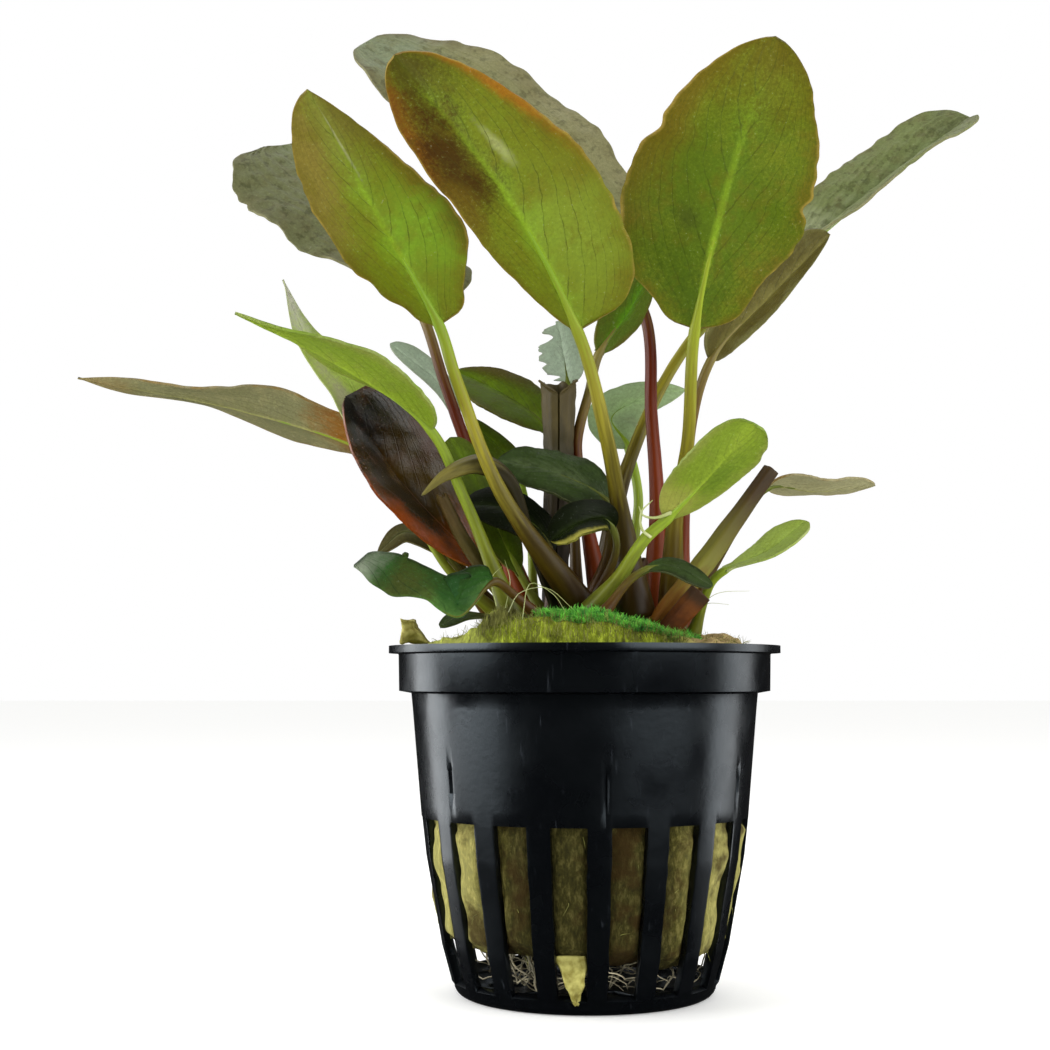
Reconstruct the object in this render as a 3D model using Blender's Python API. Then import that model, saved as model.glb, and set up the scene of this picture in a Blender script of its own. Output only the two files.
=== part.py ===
"""A potted lagenandra: a slotted net pot, its rock wool and moss, and the leaves on their stems.

Lengths are in millimetres here and become metres where a mesh is made. The
origin is the centre of the pot's base, +Z is up and -Y is the front.
"""

import math

import bmesh
import bpy
from mathutils import Vector

MM = 0.001
GAP = 0.35

# The pot: a standard 5 cm net pot, 55 mm across its rim.
RIM_RADIUS = 27.3
RIM_THICKNESS = 0.9
POT_HEIGHT = 47.5
WALL = 1.0
BAND_RADIUS = 25.9
BAND_BOTTOM = 41.3
# The moulding's small slopes: the rim's rounded edge, each step's height and draft.
RIM_EDGE = 0.2
STEP = 0.3
DRAFT = 0.1
BODY_RADIUS = 24.1
SLOT_TOP_RADIUS = 22.6
SLOT_TOP = 24.2
SLOT_BOTTOM = 2.0
BASE_RADIUS = 16.8
BASE_ROUNDING = 1.6
FLOOR = 1.4
SLOTS = 18
COLUMNS = 2 * SLOTS
CELL_ANGLE = math.tau / SLOTS
# How far round the wall a slot goes; the bar beside it takes the rest of its cell.
SLOT_ANGLE = math.radians(12.0)
# A slot's middle stands this far round from the front, towards -X.
FRONT_SLOT_ANGLE = math.radians(-7.1)
# The wall curves inwards between the slots' ends: height and outer radius.
BARS = ((19.0, 22.0), (12.5, 20.8), (7.0, 19.8))
# Drain holes in the floor, one above every second slot's column.
DRAIN_OUTER = 13.0
DRAIN_INNER = 6.0

# The rock wool fills the pot and stands a little above the rim.
WOOL_BOTTOM = 7.0
WOOL_CLEARANCE = 0.6
# The plug's sides are as wide as the pot is this far below, to clear its steps.
BAND_CLEARANCE = 1.5
WOOL_COLUMNS = 20
WOOL_SIDE = 47.3
# Rises of the wool's top: centre, reach along X and Y, height.
WOOL_HILLS = (
    ((-2.0, -4.0), (13.0, 16.0), 3.9),
    ((-12.5, -9.0), (3.6, 5.0), 2.2),
    ((-1.0, -20.0), (9.0, 5.0), 2.2),
    ((19.0, 3.0), (5.0, 8.0), 1.3),
)
WOOL_WAVE = 0.25
# Heights round the plug's side, and how far its underside's edge is drawn in.
WOOL_HEIGHTS = (46.9, 40.3, 34.0, 24.2, 17.0, 8.5)
WOOL_LOW_EDGE = 2.0
WOOL_TOP_SHARES = (0.2, 0.36, 0.52, 0.66, 0.8, 0.92)
WOOL_CORNER_SIZE = (2.6, 5.0, 3.3)
WOOL_CORNER_CENTRE = (-24.1, -1.5, POT_HEIGHT + GAP + 0.5 * WOOL_CORNER_SIZE[2])
MOSS_CENTRE = (3.0, -5.0)
MOSS_RADIUS = 12.4
MOSS_EDGE = 0.4
MOSS_RISE = 1.3
MOSS_COLUMNS = 16
MOSS_SHARES = (0.3, 0.55, 0.8, 1.0)
# The fine roots hang below the wool: rings of radius and height.
ROOT_RINGS = ((12.0, 6.0), (14.2, 5.2), (14.2, 3.6), (12.0, 2.2))
ROOT_COLUMNS = 12
# A stem's foot stays this far above the moss or wool that it grows out of.
FOOT_GAP = 0.7

BLADE_THICKNESS = 0.6
BLADE_COLLAR = 0.8
BLADE_TIP = 0.25
ACROSS = 4


def material(name, colour, roughness):
    """A plain principled material; colour is linear red, green and blue."""
    made = bpy.data.materials.new(name)
    made.use_nodes = True
    shader = made.node_tree.nodes["Principled BSDF"]
    shader.inputs["Base Color"].default_value = (*colour, 1.0)
    shader.inputs["Roughness"].default_value = roughness
    shader.inputs["Metallic"].default_value = 0.0
    made.diffuse_color = (*colour, 1.0)
    return made


def object_from(name, bm, paint):
    """Makes a smooth-shaded object of a bmesh that is in millimetres."""
    bmesh.ops.scale(bm, vec=(MM, MM, MM), verts=bm.verts)
    bmesh.ops.recalc_face_normals(bm, faces=bm.faces)
    mesh = bpy.data.meshes.new(name)
    bm.to_mesh(mesh)
    bm.free()
    mesh.shade_smooth()
    mesh.set_sharp_from_angle(angle=math.radians(40))
    mesh.materials.append(paint)
    made = bpy.data.objects.new(name, mesh)
    bpy.context.scene.collection.objects.link(made)
    return made


def ring(bm, radius, height):
    """One ring of vertices of the pot: both sides of each slot, the front one first."""
    corners = []
    for column in range(COLUMNS):
        side = -0.5 if is_slot(column) else 0.5
        angle = FRONT_SLOT_ANGLE + (column // 2) * CELL_ANGLE + side * SLOT_ANGLE
        place = (radius * math.sin(angle), -radius * math.cos(angle), height)
        corners.append(bm.verts.new(place))
    return corners


def quads_between(bm, upper, lower, is_open):
    """Faces between two rings, left out in the columns where the wall is open."""
    for column in range(COLUMNS):
        after = (column + 1) % COLUMNS
        if not is_open(column):
            bm.faces.new((upper[column], upper[after], lower[after], lower[column]))


def hole_walls(bm, outer, inner, is_open):
    """The cut edges round each opening, between matching outer and inner rings."""
    for column in filter(is_open, range(COLUMNS)):
        after = (column + 1) % COLUMNS
        for level in (0, -1):
            outside = outer[level]
            inside = inner[level]
            bm.faces.new((outside[column], outside[after], inside[after], inside[column]))
        for level in range(len(outer) - 1):
            for side in (column, after):
                bm.faces.new((
                    outer[level][side],
                    outer[level + 1][side],
                    inner[level + 1][side],
                    inner[level][side],
                ))


def is_slot(column):
    return column % 2 == 0


def is_drain(column):
    return column % 4 == 0


def never(column):
    return False


def make_net_pot():
    """One moulding: rim, band, slotted wall and drained floor."""
    bm = bmesh.new()
    rim_under = POT_HEIGHT - RIM_THICKNESS
    inner_band = BAND_RADIUS - WALL
    inner_body = BODY_RADIUS - WALL
    rim = [ring(bm, RIM_RADIUS - RIM_EDGE, POT_HEIGHT), ring(bm, RIM_RADIUS, POT_HEIGHT - STEP)]
    rim += [ring(bm, RIM_RADIUS - DRAFT, rim_under), ring(bm, BAND_RADIUS, rim_under - STEP)]
    rim += [ring(bm, BAND_RADIUS - DRAFT, BAND_BOTTOM), ring(bm, BODY_RADIUS, BAND_BOTTOM - STEP)]
    slot_outer = [ring(bm, SLOT_TOP_RADIUS, SLOT_TOP)]
    slot_outer += [ring(bm, radius, height) for height, radius in BARS]
    slot_outer.append(ring(bm, BASE_RADIUS + BASE_ROUNDING, SLOT_BOTTOM))
    corner = [ring(bm, BASE_RADIUS + 0.75 * BASE_ROUNDING, 0.5 * BASE_ROUNDING)]
    corner.append(ring(bm, BASE_RADIUS, 0.0))
    drain_outer = [ring(bm, DRAIN_OUTER, 0.0), ring(bm, DRAIN_INNER, 0.0)]

    mouth = [ring(bm, inner_band, POT_HEIGHT), ring(bm, inner_band, BAND_BOTTOM + 2 * STEP)]
    mouth.append(ring(bm, inner_body, BAND_BOTTOM - STEP))
    slot_inner = [ring(bm, SLOT_TOP_RADIUS - WALL, SLOT_TOP)]
    slot_inner += [ring(bm, radius - WALL, height) for height, radius in BARS]
    slot_inner.append(ring(bm, BASE_RADIUS + BASE_ROUNDING - WALL, SLOT_BOTTOM))
    drain_inner = [ring(bm, DRAIN_OUTER, FLOOR), ring(bm, DRAIN_INNER, FLOOR)]

    outside = rim + slot_outer + corner + drain_outer
    inside = mouth + slot_inner + [ring(bm, BASE_RADIUS - RIM_EDGE, FLOOR)] + drain_inner
    for rings, slots, drains in (
        (outside, slot_outer, drain_outer),
        (inside, slot_inner, drain_inner),
    ):
        for upper, lower in zip(rings, rings[1:]):
            is_open = never
            if upper in slots and lower in slots:
                is_open = is_slot
            if upper in drains and lower in drains:
                is_open = is_drain
            quads_between(bm, upper, lower, is_open)
    quads_between(bm, rim[0], mouth[0], never)
    hole_walls(bm, slot_outer, slot_inner, is_slot)
    hole_walls(bm, drain_outer, drain_inner, is_drain)
    for last, height in ((drain_outer[1], 0.0), (drain_inner[1], FLOOR)):
        centre = bm.verts.new((0.0, 0.0, height))
        for column in range(COLUMNS):
            bm.faces.new((last[column], last[(column + 1) % COLUMNS], centre))
    black = material("black_moulded_plastic", (0.012, 0.013, 0.016), 0.35)
    return object_from("net_pot", bm, black)


def hill(x, y, centre, reach, height):
    """A smooth rounded rise, reach being its half width along X and along Y."""
    far = ((x - centre[0]) / reach[0]) ** 2 + ((y - centre[1]) / reach[1]) ** 2
    return height * math.exp(-far)


def wool_top(x, y):
    """Height of the rock wool's lumpy top above the point x, y."""
    rises = sum(hill(x, y, *rise) for rise in WOOL_HILLS)
    return WOOL_SIDE + rises + WOOL_WAVE * math.sin(0.9 * x + 0.6 * y)


def pot_inner_radius(height):
    """Radius of the pot's inside at a height."""
    stations = [(BASE_RADIUS - WALL, 0.0)]
    stations += [(radius - WALL, level) for level, radius in reversed(BARS)]
    stations += [(SLOT_TOP_RADIUS - WALL, SLOT_TOP), (BODY_RADIUS - WALL, BAND_BOTTOM)]
    stations.append((BAND_RADIUS - WALL, POT_HEIGHT))
    for (near, low), (far, high) in zip(stations, stations[1:]):
        if height <= high:
            share = (height - low) / (high - low)
            return near + share * (far - near)
    return BAND_RADIUS - WALL


def disc_rows(bm, columns, radii, height_at, middle=(0.0, 0.0)):
    """Rings of vertices over a disc, one for each radius, and a vertex in its middle."""
    rows = []
    for radius in radii:
        row = []
        for column in range(columns):
            angle = math.tau * column / columns
            x = middle[0] + radius * math.sin(angle)
            y = middle[1] - radius * math.cos(angle)
            row.append(bm.verts.new((x, y, height_at(x, y))))
        rows.append(row)
    centre = bm.verts.new((*middle, height_at(*middle)))
    return rows, centre


def close_rows(bm, rows, first_centre, last_centre):
    """Faces along a stack of rings, with a fan at each end."""
    count = len(rows[0])
    for column in range(count):
        after = (column + 1) % count
        for above, below in zip(rows, rows[1:]):
            bm.faces.new((above[column], above[after], below[after], below[column]))
        bm.faces.new((first_centre, rows[0][after], rows[0][column]))
        bm.faces.new((last_centre, rows[-1][column], rows[-1][after]))


def make_rock_wool():
    """The wool plug inside the pot, with its lumpy top."""
    bm = bmesh.new()
    inset = WOOL_CLEARANCE
    top_radius = BAND_RADIUS - WALL - inset
    reach = [top_radius * share for share in WOOL_TOP_SHARES]
    top, top_centre = disc_rows(bm, WOOL_COLUMNS, reach, wool_top)
    sides = []
    for height in WOOL_HEIGHTS:
        radius = pot_inner_radius(height - BAND_CLEARANCE) - inset
        row, spare = disc_rows(bm, WOOL_COLUMNS, [radius], lambda x, y: height)
        bm.verts.remove(spare)
        sides += row
    low_radius = pot_inner_radius(WOOL_BOTTOM) - inset - WOOL_LOW_EDGE
    bottom, bottom_centre = disc_rows(bm, WOOL_COLUMNS, [low_radius], lambda x, y: WOOL_BOTTOM)
    close_rows(bm, top + sides + bottom, top_centre, bottom_centre)
    wool = material("rock_wool", (0.28, 0.26, 0.06), 0.9)
    return object_from("rock_wool", bm, wool)


def make_wool_corner():
    """The loose square corner of wool that stands up at the left of the rim."""
    bm = bmesh.new()
    bmesh.ops.create_cube(bm, size=1.0)
    bmesh.ops.scale(bm, vec=WOOL_CORNER_SIZE, verts=bm.verts)
    bmesh.ops.translate(bm, vec=WOOL_CORNER_CENTRE, verts=bm.verts)
    wool = material("wool_corner", (0.3, 0.28, 0.07), 0.9)
    return object_from("wool_corner", bm, wool)


def moss_under(x, y):
    return wool_top(x, y) + 2 * GAP


def moss_top(x, y):
    """Height of the moss above the point x, y; it is thickest in its middle."""
    far = math.dist((x, y), MOSS_CENTRE) / MOSS_RADIUS
    return moss_under(x, y) + MOSS_EDGE + MOSS_RISE * max(0.0, 1.0 - far**2) ** 0.5


def ground_at(x, y):
    """Height of what a stem at x, y grows out of: the moss, or the bare wool beside it."""
    if math.dist((x, y), MOSS_CENTRE) < MOSS_RADIUS:
        return moss_top(x, y)
    return wool_top(x, y)


def make_moss_mat():
    """A cushion of moss that follows the wool's top."""
    bm = bmesh.new()
    radii = [MOSS_RADIUS * share for share in MOSS_SHARES]
    over, over_centre = disc_rows(bm, MOSS_COLUMNS, radii, moss_top, MOSS_CENTRE)
    under, under_centre = disc_rows(bm, MOSS_COLUMNS, radii, moss_under, MOSS_CENTRE)
    close_rows(bm, over + under[::-1], over_centre, under_centre)
    moss = material("moss", (0.03, 0.2, 0.03), 0.9)
    return object_from("moss_mat", bm, moss)


def make_root_tangle():
    """The envelope of the fine roots that hang below the wool."""
    bm = bmesh.new()
    rows = []
    for radius, height in ROOT_RINGS:
        row, spare = disc_rows(bm, ROOT_COLUMNS, [radius], lambda x, y: height)
        bm.verts.remove(spare)
        rows += row
    high = bm.verts.new((0.0, 0.0, ROOT_RINGS[0][1]))
    low = bm.verts.new((0.0, 0.0, ROOT_RINGS[-1][1]))
    close_rows(bm, rows, high, low)
    roots = material("fine_roots", (0.16, 0.11, 0.06), 0.7)
    return object_from("root_tangle", bm, roots)


def rooted(path, radius):
    """A path's points; its first, given as x and y, stands on the moss or the wool.

    A leaning stem starts a little higher, so that its foot's low side clears.
    """
    (x, y), *rest = path
    ground = ground_at(x, y)
    ahead = Vector(rest[0])
    lean = math.hypot(ahead.x - x, ahead.y - y) / (ahead - Vector((x, y, ground))).length
    return [Vector((x, y, ground + FOOT_GAP + lean * radius)), *map(Vector, rest)]


def path_slopes(points):
    """The direction of travel at each point of a path, per millimetre."""
    slopes = []
    for index, point in enumerate(points):
        before = points[max(index - 1, 0)]
        after = points[min(index + 1, len(points) - 1)]
        travelled = (point - before).length + (after - point).length
        slopes.append((after - before) / travelled)
    return slopes


def path_between(points, first, last, share):
    """(place, direction) at a share of the way from point first to point last."""
    slopes = path_slopes(points)
    spans = [(b - a).length for a, b in zip(points, points[1:])]
    along = share * sum(spans[first:last])
    index = first
    while index < last - 1 and along > spans[index]:
        along -= spans[index]
        index += 1
    span = spans[index]
    t = min(max(along / span, 0.0), 1.0)
    a, b = points[index], points[index + 1]
    m, n = slopes[index] * span, slopes[index + 1] * span
    place = (
        (2 * t**3 - 3 * t**2 + 1) * a
        + (t**3 - 2 * t**2 + t) * m
        + (3 * t**2 - 2 * t**3) * b
        + (t**3 - t**2) * n
    )
    speed = (
        (6 * t**2 - 6 * t) * (a - b)
        + (3 * t**2 - 4 * t + 1) * m
        + (3 * t**2 - 2 * t) * n
    )
    return place, speed.normalized()


def outline(t, margin):
    """Half width at t, from the collar at 0 to the tip at 1, of a (width, base, tip) margin.

    The smaller base or tip is, the rounder that end; 1 makes it pointed.
    """
    width, base, tip = margin
    widest = base / (base + tip)
    peak = widest**base * (1 - widest) ** tip
    return width * t**base * (1 - t) ** tip / peak


def blade_point(leaf, points, t, u):
    """A point of a leaf's middle surface: t along it, u across it from -1 to 1.

    u is positive on the right of the upper side, seen with the tip up.
    """
    stalk = leaf.get("stalk", 0.0)
    first = 0 if stalk else len(leaf["stem"])
    place, along = path_between(points, first, len(points) - 1, t)
    share = max(0.0, t - stalk) / (1.0 - stalk)
    margin = leaf["right"] if u > 0 else leaf["left"]
    least = BLADE_COLLAR + (BLADE_TIP - BLADE_COLLAR) * share
    half_width = max(least, outline(share, margin))
    facing = Vector(leaf["facing"][0]).lerp(Vector(leaf["facing"][1]), t)
    right = along.cross(facing).normalized()
    up = right.cross(along)
    fold = leaf.get("fold", (0, 0))[0 if u > 0 else 1]
    bend = math.radians(fold)
    reach = half_width * abs(u)
    place = place + right * math.copysign(reach * math.cos(bend), u) + up * reach * math.sin(bend)
    height, waves = leaf.get("ripple", (0.0, 1.0))
    return place + up * height * u * abs(u) * math.sin(math.tau * waves * t)


def path_of(leaf):
    """All of a leaf's points, from its foot to its tip."""
    radius = leaf["stem_radius"][0] if leaf["stem"] else BLADE_COLLAR
    return rooted((*leaf["stem"], *leaf["blade"]), radius)


def make_blade(name, leaf):
    """A leaf's blade as a thin closed sheet."""
    points = path_of(leaf)
    along = leaf.get("along", 7)
    bm = bmesh.new()
    rows = []
    for step in range(along + 1):
        t = step / along
        across = [blade_point(leaf, points, t, 2 * side / ACROSS - 1) for side in range(ACROSS + 1)]
        rows.append([bm.verts.new(place) for place in across])
    for lower, upper in zip(rows, rows[1:]):
        for side in range(ACROSS):
            bm.faces.new((lower[side], lower[side + 1], upper[side + 1], upper[side]))
    made = object_from("leaf_" + name, bm, material("leaf_" + name, leaf["colour"], 0.5))
    sheet = made.modifiers.new("thickness", "SOLIDIFY")
    sheet.thickness = BLADE_THICKNESS * MM
    sheet.offset = 0.0
    return made


def tube(name, places, radii, paint, sides=1):
    """A round stem through places, with closed ends; radii taper along it."""
    curve = bpy.data.curves.new(name, "CURVE")
    curve.dimensions = "3D"
    curve.bevel_depth = MM
    curve.bevel_resolution = sides
    curve.use_fill_caps = True
    spline = curve.splines.new("POLY")
    spline.points.add(len(places) - 1)
    for point, place, radius in zip(spline.points, places, radii):
        point.co = (*(place * MM), 1.0)
        point.radius = radius
    spline.use_smooth = True
    curve.materials.append(paint)
    made = bpy.data.objects.new(name, curve)
    bpy.context.scene.collection.objects.link(made)
    return made


def make_stem(name, leaf):
    """The petiole, from just above the moss to just below the blade's collar."""
    points = path_of(leaf)
    last = len(leaf["stem"])
    steps = leaf.get("stem_steps", 6)
    length = sum((b - a).length for a, b in zip(points[:last], points[1 : last + 1]))
    end = 1.0 - 2 * GAP / length
    places = [path_between(points, 0, last, end * step / steps)[0] for step in range(steps + 1)]
    root_radius, collar_radius = leaf["stem_radius"]
    radii = []
    for step in range(steps + 1):
        share = step / steps
        radii.append(root_radius + (collar_radius - root_radius) * share**0.6)
    paint = material("stem_" + name, leaf["stem_colour"], 0.45)
    return tube("stem_" + name, places, radii, paint)


OLIVE = (0.15, 0.19, 0.03)
GREEN = (0.12, 0.27, 0.03)
DARK_GREEN = (0.02, 0.07, 0.02)
GREY_GREEN = (0.15, 0.19, 0.12)
BROWN = (0.05, 0.03, 0.01)
RED_STEM = (0.16, 0.02, 0.01)
YELLOW_STEM = (0.27, 0.25, 0.03)
GREEN_STEM = (0.2, 0.3, 0.03)
BROWN_STEM = (0.1, 0.07, 0.03)

# Each leaf: its stem's points from the moss up, its blade's points from collar
# to tip, its right and left margins, and where its upper side faces at collar
# and tip. Right and left are those of the upper side with the tip up.
LEAVES = {
    "front_left": {
        "stem": ((-1.6, -11.0), (-11.5, -18.0, 67.5), (-17.4, -19.5, 82.5)),
        "blade": ((-19.5, -20.5, 89.0), (-27.4, -29.0, 102.2), (-34.8, -37.0, 114.6)),
        "right": (7.8, 0.6, 0.55),
        "left": (8.8, 0.35, 1.0),
        "facing": ((0.1, 1.0, 0.6), (0.0, 1.0, 0.6)),
        "fold": (12, 12),
        "ripple": (0.4, 2.0),
        "along": 10,
        "stem_radius": (1.3, 0.9),
        "colour": OLIVE,
        "stem_colour": YELLOW_STEM,
    },
    "front_middle": {
        "stem": ((6.7, -8.0), (4.9, -10.0, 64.3), (2.4, -15.0, 75.9)),
        "blade": ((-1.4, -20.0, 88.3), (-10.8, -31.0, 103.5), (-23.8, -42.0, 117.1)),
        "right": (6.8, 0.7, 0.5),
        "left": (11.4, 0.26, 0.62),
        "facing": ((0.0, 1.0, 0.6), (0.0, 1.0, 0.6)),
        "fold": (10, 14),
        "ripple": (0.4, 2.0),
        "along": 11,
        "stem_radius": (1.6, 0.95),
        "colour": OLIVE,
        "stem_colour": YELLOW_STEM,
    },
    "front_right": {
        "stem": ((12.2, -2.6), (12.6, -4.0, 64.9), (14.0, -9.0, 75.4)),
        "blade": ((14.6, -14.0, 89.9), (18.2, -23.0, 107.2), (23.1, -32.0, 123.2)),
        "right": (13.0, 0.45, 0.7),
        "left": (11.9, 0.48, 0.6),
        "facing": ((0.0, 1.0, 0.6), (0.0, 1.0, 0.6)),
        "fold": (8, 8),
        "ripple": (0.5, 2.5),
        "along": 11,
        "stem_radius": (1.35, 0.95),
        "colour": OLIVE,
        "stem_colour": GREEN_STEM,
    },
    "back_top": {
        "stem": ((10.0, 3.4), (10.8, 4.0, 65.6), (10.2, 6.0, 80.4)),
        "blade": ((8.8, 10.0, 98.5), (-10.5, 19.0, 125.2), (-34.6, 26.0, 144.0)),
        "right": (13.2, 0.5, 0.4),
        "left": (10.5, 0.5, 0.45),
        "facing": ((0.3, -1.0, 0.5), (0.3, -1.0, 0.6)),
        "fold": (10, 10),
        "ripple": (0.7, 3.0),
        "along": 10,
        "stem_radius": (1.3, 1.0),
        "colour": GREY_GREEN,
        "stem_colour": RED_STEM,
    },
    "back_left": {
        "stem": ((-6.8, 5.4), (-17.0, 4.6, 77.5), (-19.8, 5.0, 85.4)),
        "blade": ((-24.0, 6.0, 97.4), (-34.8, 15.0, 111.6), (-46.6, 23.0, 126.6)),
        "right": (13.8, 0.2, 0.26),
        "left": (13.0, 1.1, 0.35),
        "facing": ((0.4, -1.0, 0.8), (0.4, -1.0, 0.8)),
        "ripple": (0.6, 3.0),
        "along": 10,
        "stem_radius": (1.2, 0.9),
        "colour": GREY_GREEN,
        "stem_colour": RED_STEM,
    },
    "back_right": {
        "stem": ((2.5, 6.5), (6.4, 9.0, 72.7), (16.7, 15.0, 93.7)),
        "blade": ((29.4, 18.0, 104.4), (45.4, 22.0, 118.2), (63.2, 27.0, 132.4)),
        "right": (8.0, 0.5, 0.35),
        "left": (8.0, 0.5, 0.35),
        "facing": ((-0.6, -0.6, 1.0), (-0.6, -0.8, 0.9)),
        "fold": (25, 25),
        "ripple": (0.5, 2.0),
        "along": 9,
        "stem_radius": (1.2, 0.9),
        "colour": GREY_GREEN,
        "stem_colour": YELLOW_STEM,
    },
    "dark_right": {
        "stem": ((13.9, 4.6), (15.4, 3.0, 77.1)),
        "blade": ((18.4, 1.0, 88.4), (26.6, 4.0, 97.8), (36.8, 8.0, 108.5)),
        "right": (6.0, 0.5, 0.6),
        "left": (5.6, 0.5, 0.6),
        "facing": ((-0.6, 0.7, 0.7), (-0.6, 0.7, 0.7)),
        "fold": (15, 15),
        "along": 8,
        "stem_radius": (1.1, 0.8),
        "colour": BROWN,
        "stem_colour": RED_STEM,
    },
    "far_left": {
        "stem": ((-11.0, 6.5), (-17.6, 6.5, 58.6), (-22.6, 5.5, 66.8)),
        "blade": ((-27.6, 4.0, 74.0), (-47.9, 9.0, 81.8), (-75.5, 14.0, 88.0)),
        "right": (9.0, 0.4, 1.5),
        "left": (7.8, 0.3, 1.3),
        "facing": ((0.1, 0.38, 1.0), (0.1, 0.25, 1.0)),
        "fold": (10, 10),
        "ripple": (0.7, 2.0),
        "along": 10,
        "stem_radius": (1.3, 0.9),
        "colour": GREY_GREEN,
        "stem_colour": YELLOW_STEM,
    },
    "brown_folded": {
        "stem": ((-9.6, -5.6), (-11.7, -7.0, 55.0)),
        "blade": ((-13.4, -7.6, 57.4), (-24.4, -10.0, 68.8), (-32.3, -14.0, 80.4)),
        "right": (7.2, 0.7, 0.3),
        "left": (7.0, 0.75, 0.6),
        "facing": ((0.3, -1.0, 0.6), (0.3, -1.0, 0.6)),
        "fold": (20, 20),
        "along": 8,
        "stem_radius": (1.2, 1.0),
        "stem_steps": 3,
        "colour": BROWN,
        "stem_colour": (0.25, 0.08, 0.02),
    },
    "green_left": {
        "stem": ((-10.0, -13.0), (-12.9, -14.0, 58.7), (-16.2, -14.5, 66.6)),
        "blade": ((-20.8, -16.0, 75.8), (-30.5, -23.0, 82.3), (-44.1, -32.0, 88.0)),
        "right": (3.8, 0.5, 0.9),
        "left": (6.5, 0.5, 0.9),
        "facing": ((0.1, -0.05, 1.0), (0.1, -0.05, 1.0)),
        "fold": (10, 12),
        "ripple": (0.5, 1.5),
        "along": 8,
        "stem_radius": (1.1, 0.8),
        "colour": GREEN,
        "stem_colour": GREEN_STEM,
    },
    "olive_middle": {
        "stem": ((-3.4, 8.0), (-4.6, 8.0, 68.8)),
        "blade": ((-5.0, 8.5, 79.0), (-10.5, 11.0, 84.5), (-18.8, 14.0, 89.0)),
        "right": (4.4, 0.5, 0.7),
        "left": (5.4, 0.6, 0.6),
        "facing": ((0.3, -1.0, 0.6), (0.3, -1.0, 0.6)),
        "fold": (10, 10),
        "along": 6,
        "stem_radius": (1.0, 0.8),
        "colour": OLIVE,
        "stem_colour": BROWN_STEM,
    },
    "dark_green": {
        "stem": ((1.2, -3.5), (3.4, -5.0, 61.0)),
        "blade": ((2.9, -7.6, 67.0), (-3.6, -9.4, 70.6), (-12.0, -11.0, 72.3)),
        "right": (5.4, 0.5, 0.7),
        "left": (4.8, 0.5, 0.7),
        "facing": ((0.2, -1.0, 0.6), (0.2, -1.0, 0.6)),
        "fold": (5, -10),
        "ripple": (0.4, 1.5),
        "along": 6,
        "stem_radius": (1.0, 0.8),
        "colour": DARK_GREEN,
        "stem_colour": BROWN_STEM,
    },
    "torn_grey": {
        "stem": ((-0.4, 11.5), (-1.4, 9.5, 76.3)),
        "blade": ((-2.0, 8.5, 86.0), (-2.6, 9.5, 91.0), (-3.4, 11.0, 96.0)),
        "right": (3.4, 0.5, 0.5),
        "left": (3.8, 0.5, 0.5),
        "facing": ((0.0, -1.0, 0.3), (0.0, -1.0, 0.3)),
        "along": 5,
        "stem_radius": (0.9, 0.7),
        "colour": GREY_GREEN,
        "stem_colour": BROWN_STEM,
    },
    "young_middle": {
        "stem": ((2.6, 1.5), (-0.8, 1.5, 75.4), (1.0, 1.0, 84.0)),
        "blade": ((2.4, 0.8, 89.3), (6.5, 1.0, 95.5), (10.5, 2.0, 103.0)),
        "right": (3.4, 0.6, 0.6),
        "left": (3.4, 0.6, 0.6),
        "facing": ((-0.4, 1.0, 0.5), (-0.4, 1.0, 0.5)),
        "fold": (15, 15),
        "along": 5,
        "stem_radius": (1.1, 0.8),
        "colour": DARK_GREEN,
        "stem_colour": RED_STEM,
    },
    "pale_back": {
        "stem": ((4.6, 12.5), (8.6, 13.0, 68.0)),
        "blade": ((7.2, 13.5, 77.4), (4.8, 15.0, 82.0), (9.4, 17.0, 85.2), (16.3, 19.0, 87.0)),
        "right": (3.6, 0.4, 0.8),
        "left": (3.8, 0.4, 0.7),
        "facing": ((0.0, -1.0, 0.4), (0.0, -1.0, 0.5)),
        "along": 7,
        "stem_radius": (1.0, 0.8),
        "colour": GREY_GREEN,
        "stem_colour": GREEN_STEM,
    },
    "green_right": {
        "stem": ((2.0, -15.0), (4.2, -16.0, 56.2), (7.5, -16.5, 61.2)),
        "blade": ((10.4, -17.0, 63.8), (15.4, -22.0, 69.0), (20.4, -27.0, 75.0)),
        "right": (4.2, 0.4, 0.4),
        "left": (4.8, 0.8, 0.35),
        "facing": ((-0.3, 1.0, 0.5), (-0.3, 1.0, 0.5)),
        "fold": (10, 10),
        "ripple": (0.3, 1.5),
        "along": 8,
        "stem_radius": (1.2, 0.9),
        "stem_steps": 4,
        "colour": GREEN,
        "stem_colour": GREEN_STEM,
    },
    "thin_olive": {
        "stem": ((13.6, 8.0), (22.6, 8.0, 65.0)),
        "blade": ((27.3, 8.5, 70.8), (34.5, 10.5, 70.6), (43.7, 12.0, 71.6)),
        "right": (4.2, 0.5, 0.7),
        "left": (4.2, 0.5, 0.7),
        "facing": ((-0.1, 0.2, 1.0), (0.0, 0.2, 1.0)),
        "fold": (6, 6),
        "ripple": (0.3, 1.5),
        "along": 6,
        "stem_radius": (1.0, 0.7),
        "colour": OLIVE,
        "stem_colour": BROWN_STEM,
    },
    "small_right": {
        "stem": ((15.6, -0.2), (17.6, -1.6, 56.0)),
        "blade": ((19.6, -2.5, 58.0), (25.6, -1.0, 60.6), (31.7, 2.0, 65.2)),
        "right": (3.0, 1.0, 0.5),
        "left": (3.0, 1.0, 0.5),
        "facing": ((-0.3, -0.6, 1.0), (-0.3, -0.6, 1.0)),
        "fold": (10, 10),
        "along": 6,
        "stem_radius": (0.8, 0.7),
        "stem_steps": 3,
        "colour": GREEN,
        "stem_colour": GREEN_STEM,
    },
    "cup_left": {
        "stem": ((-6.6, -16.2), (-9.6, -17.6, 53.8)),
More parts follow.
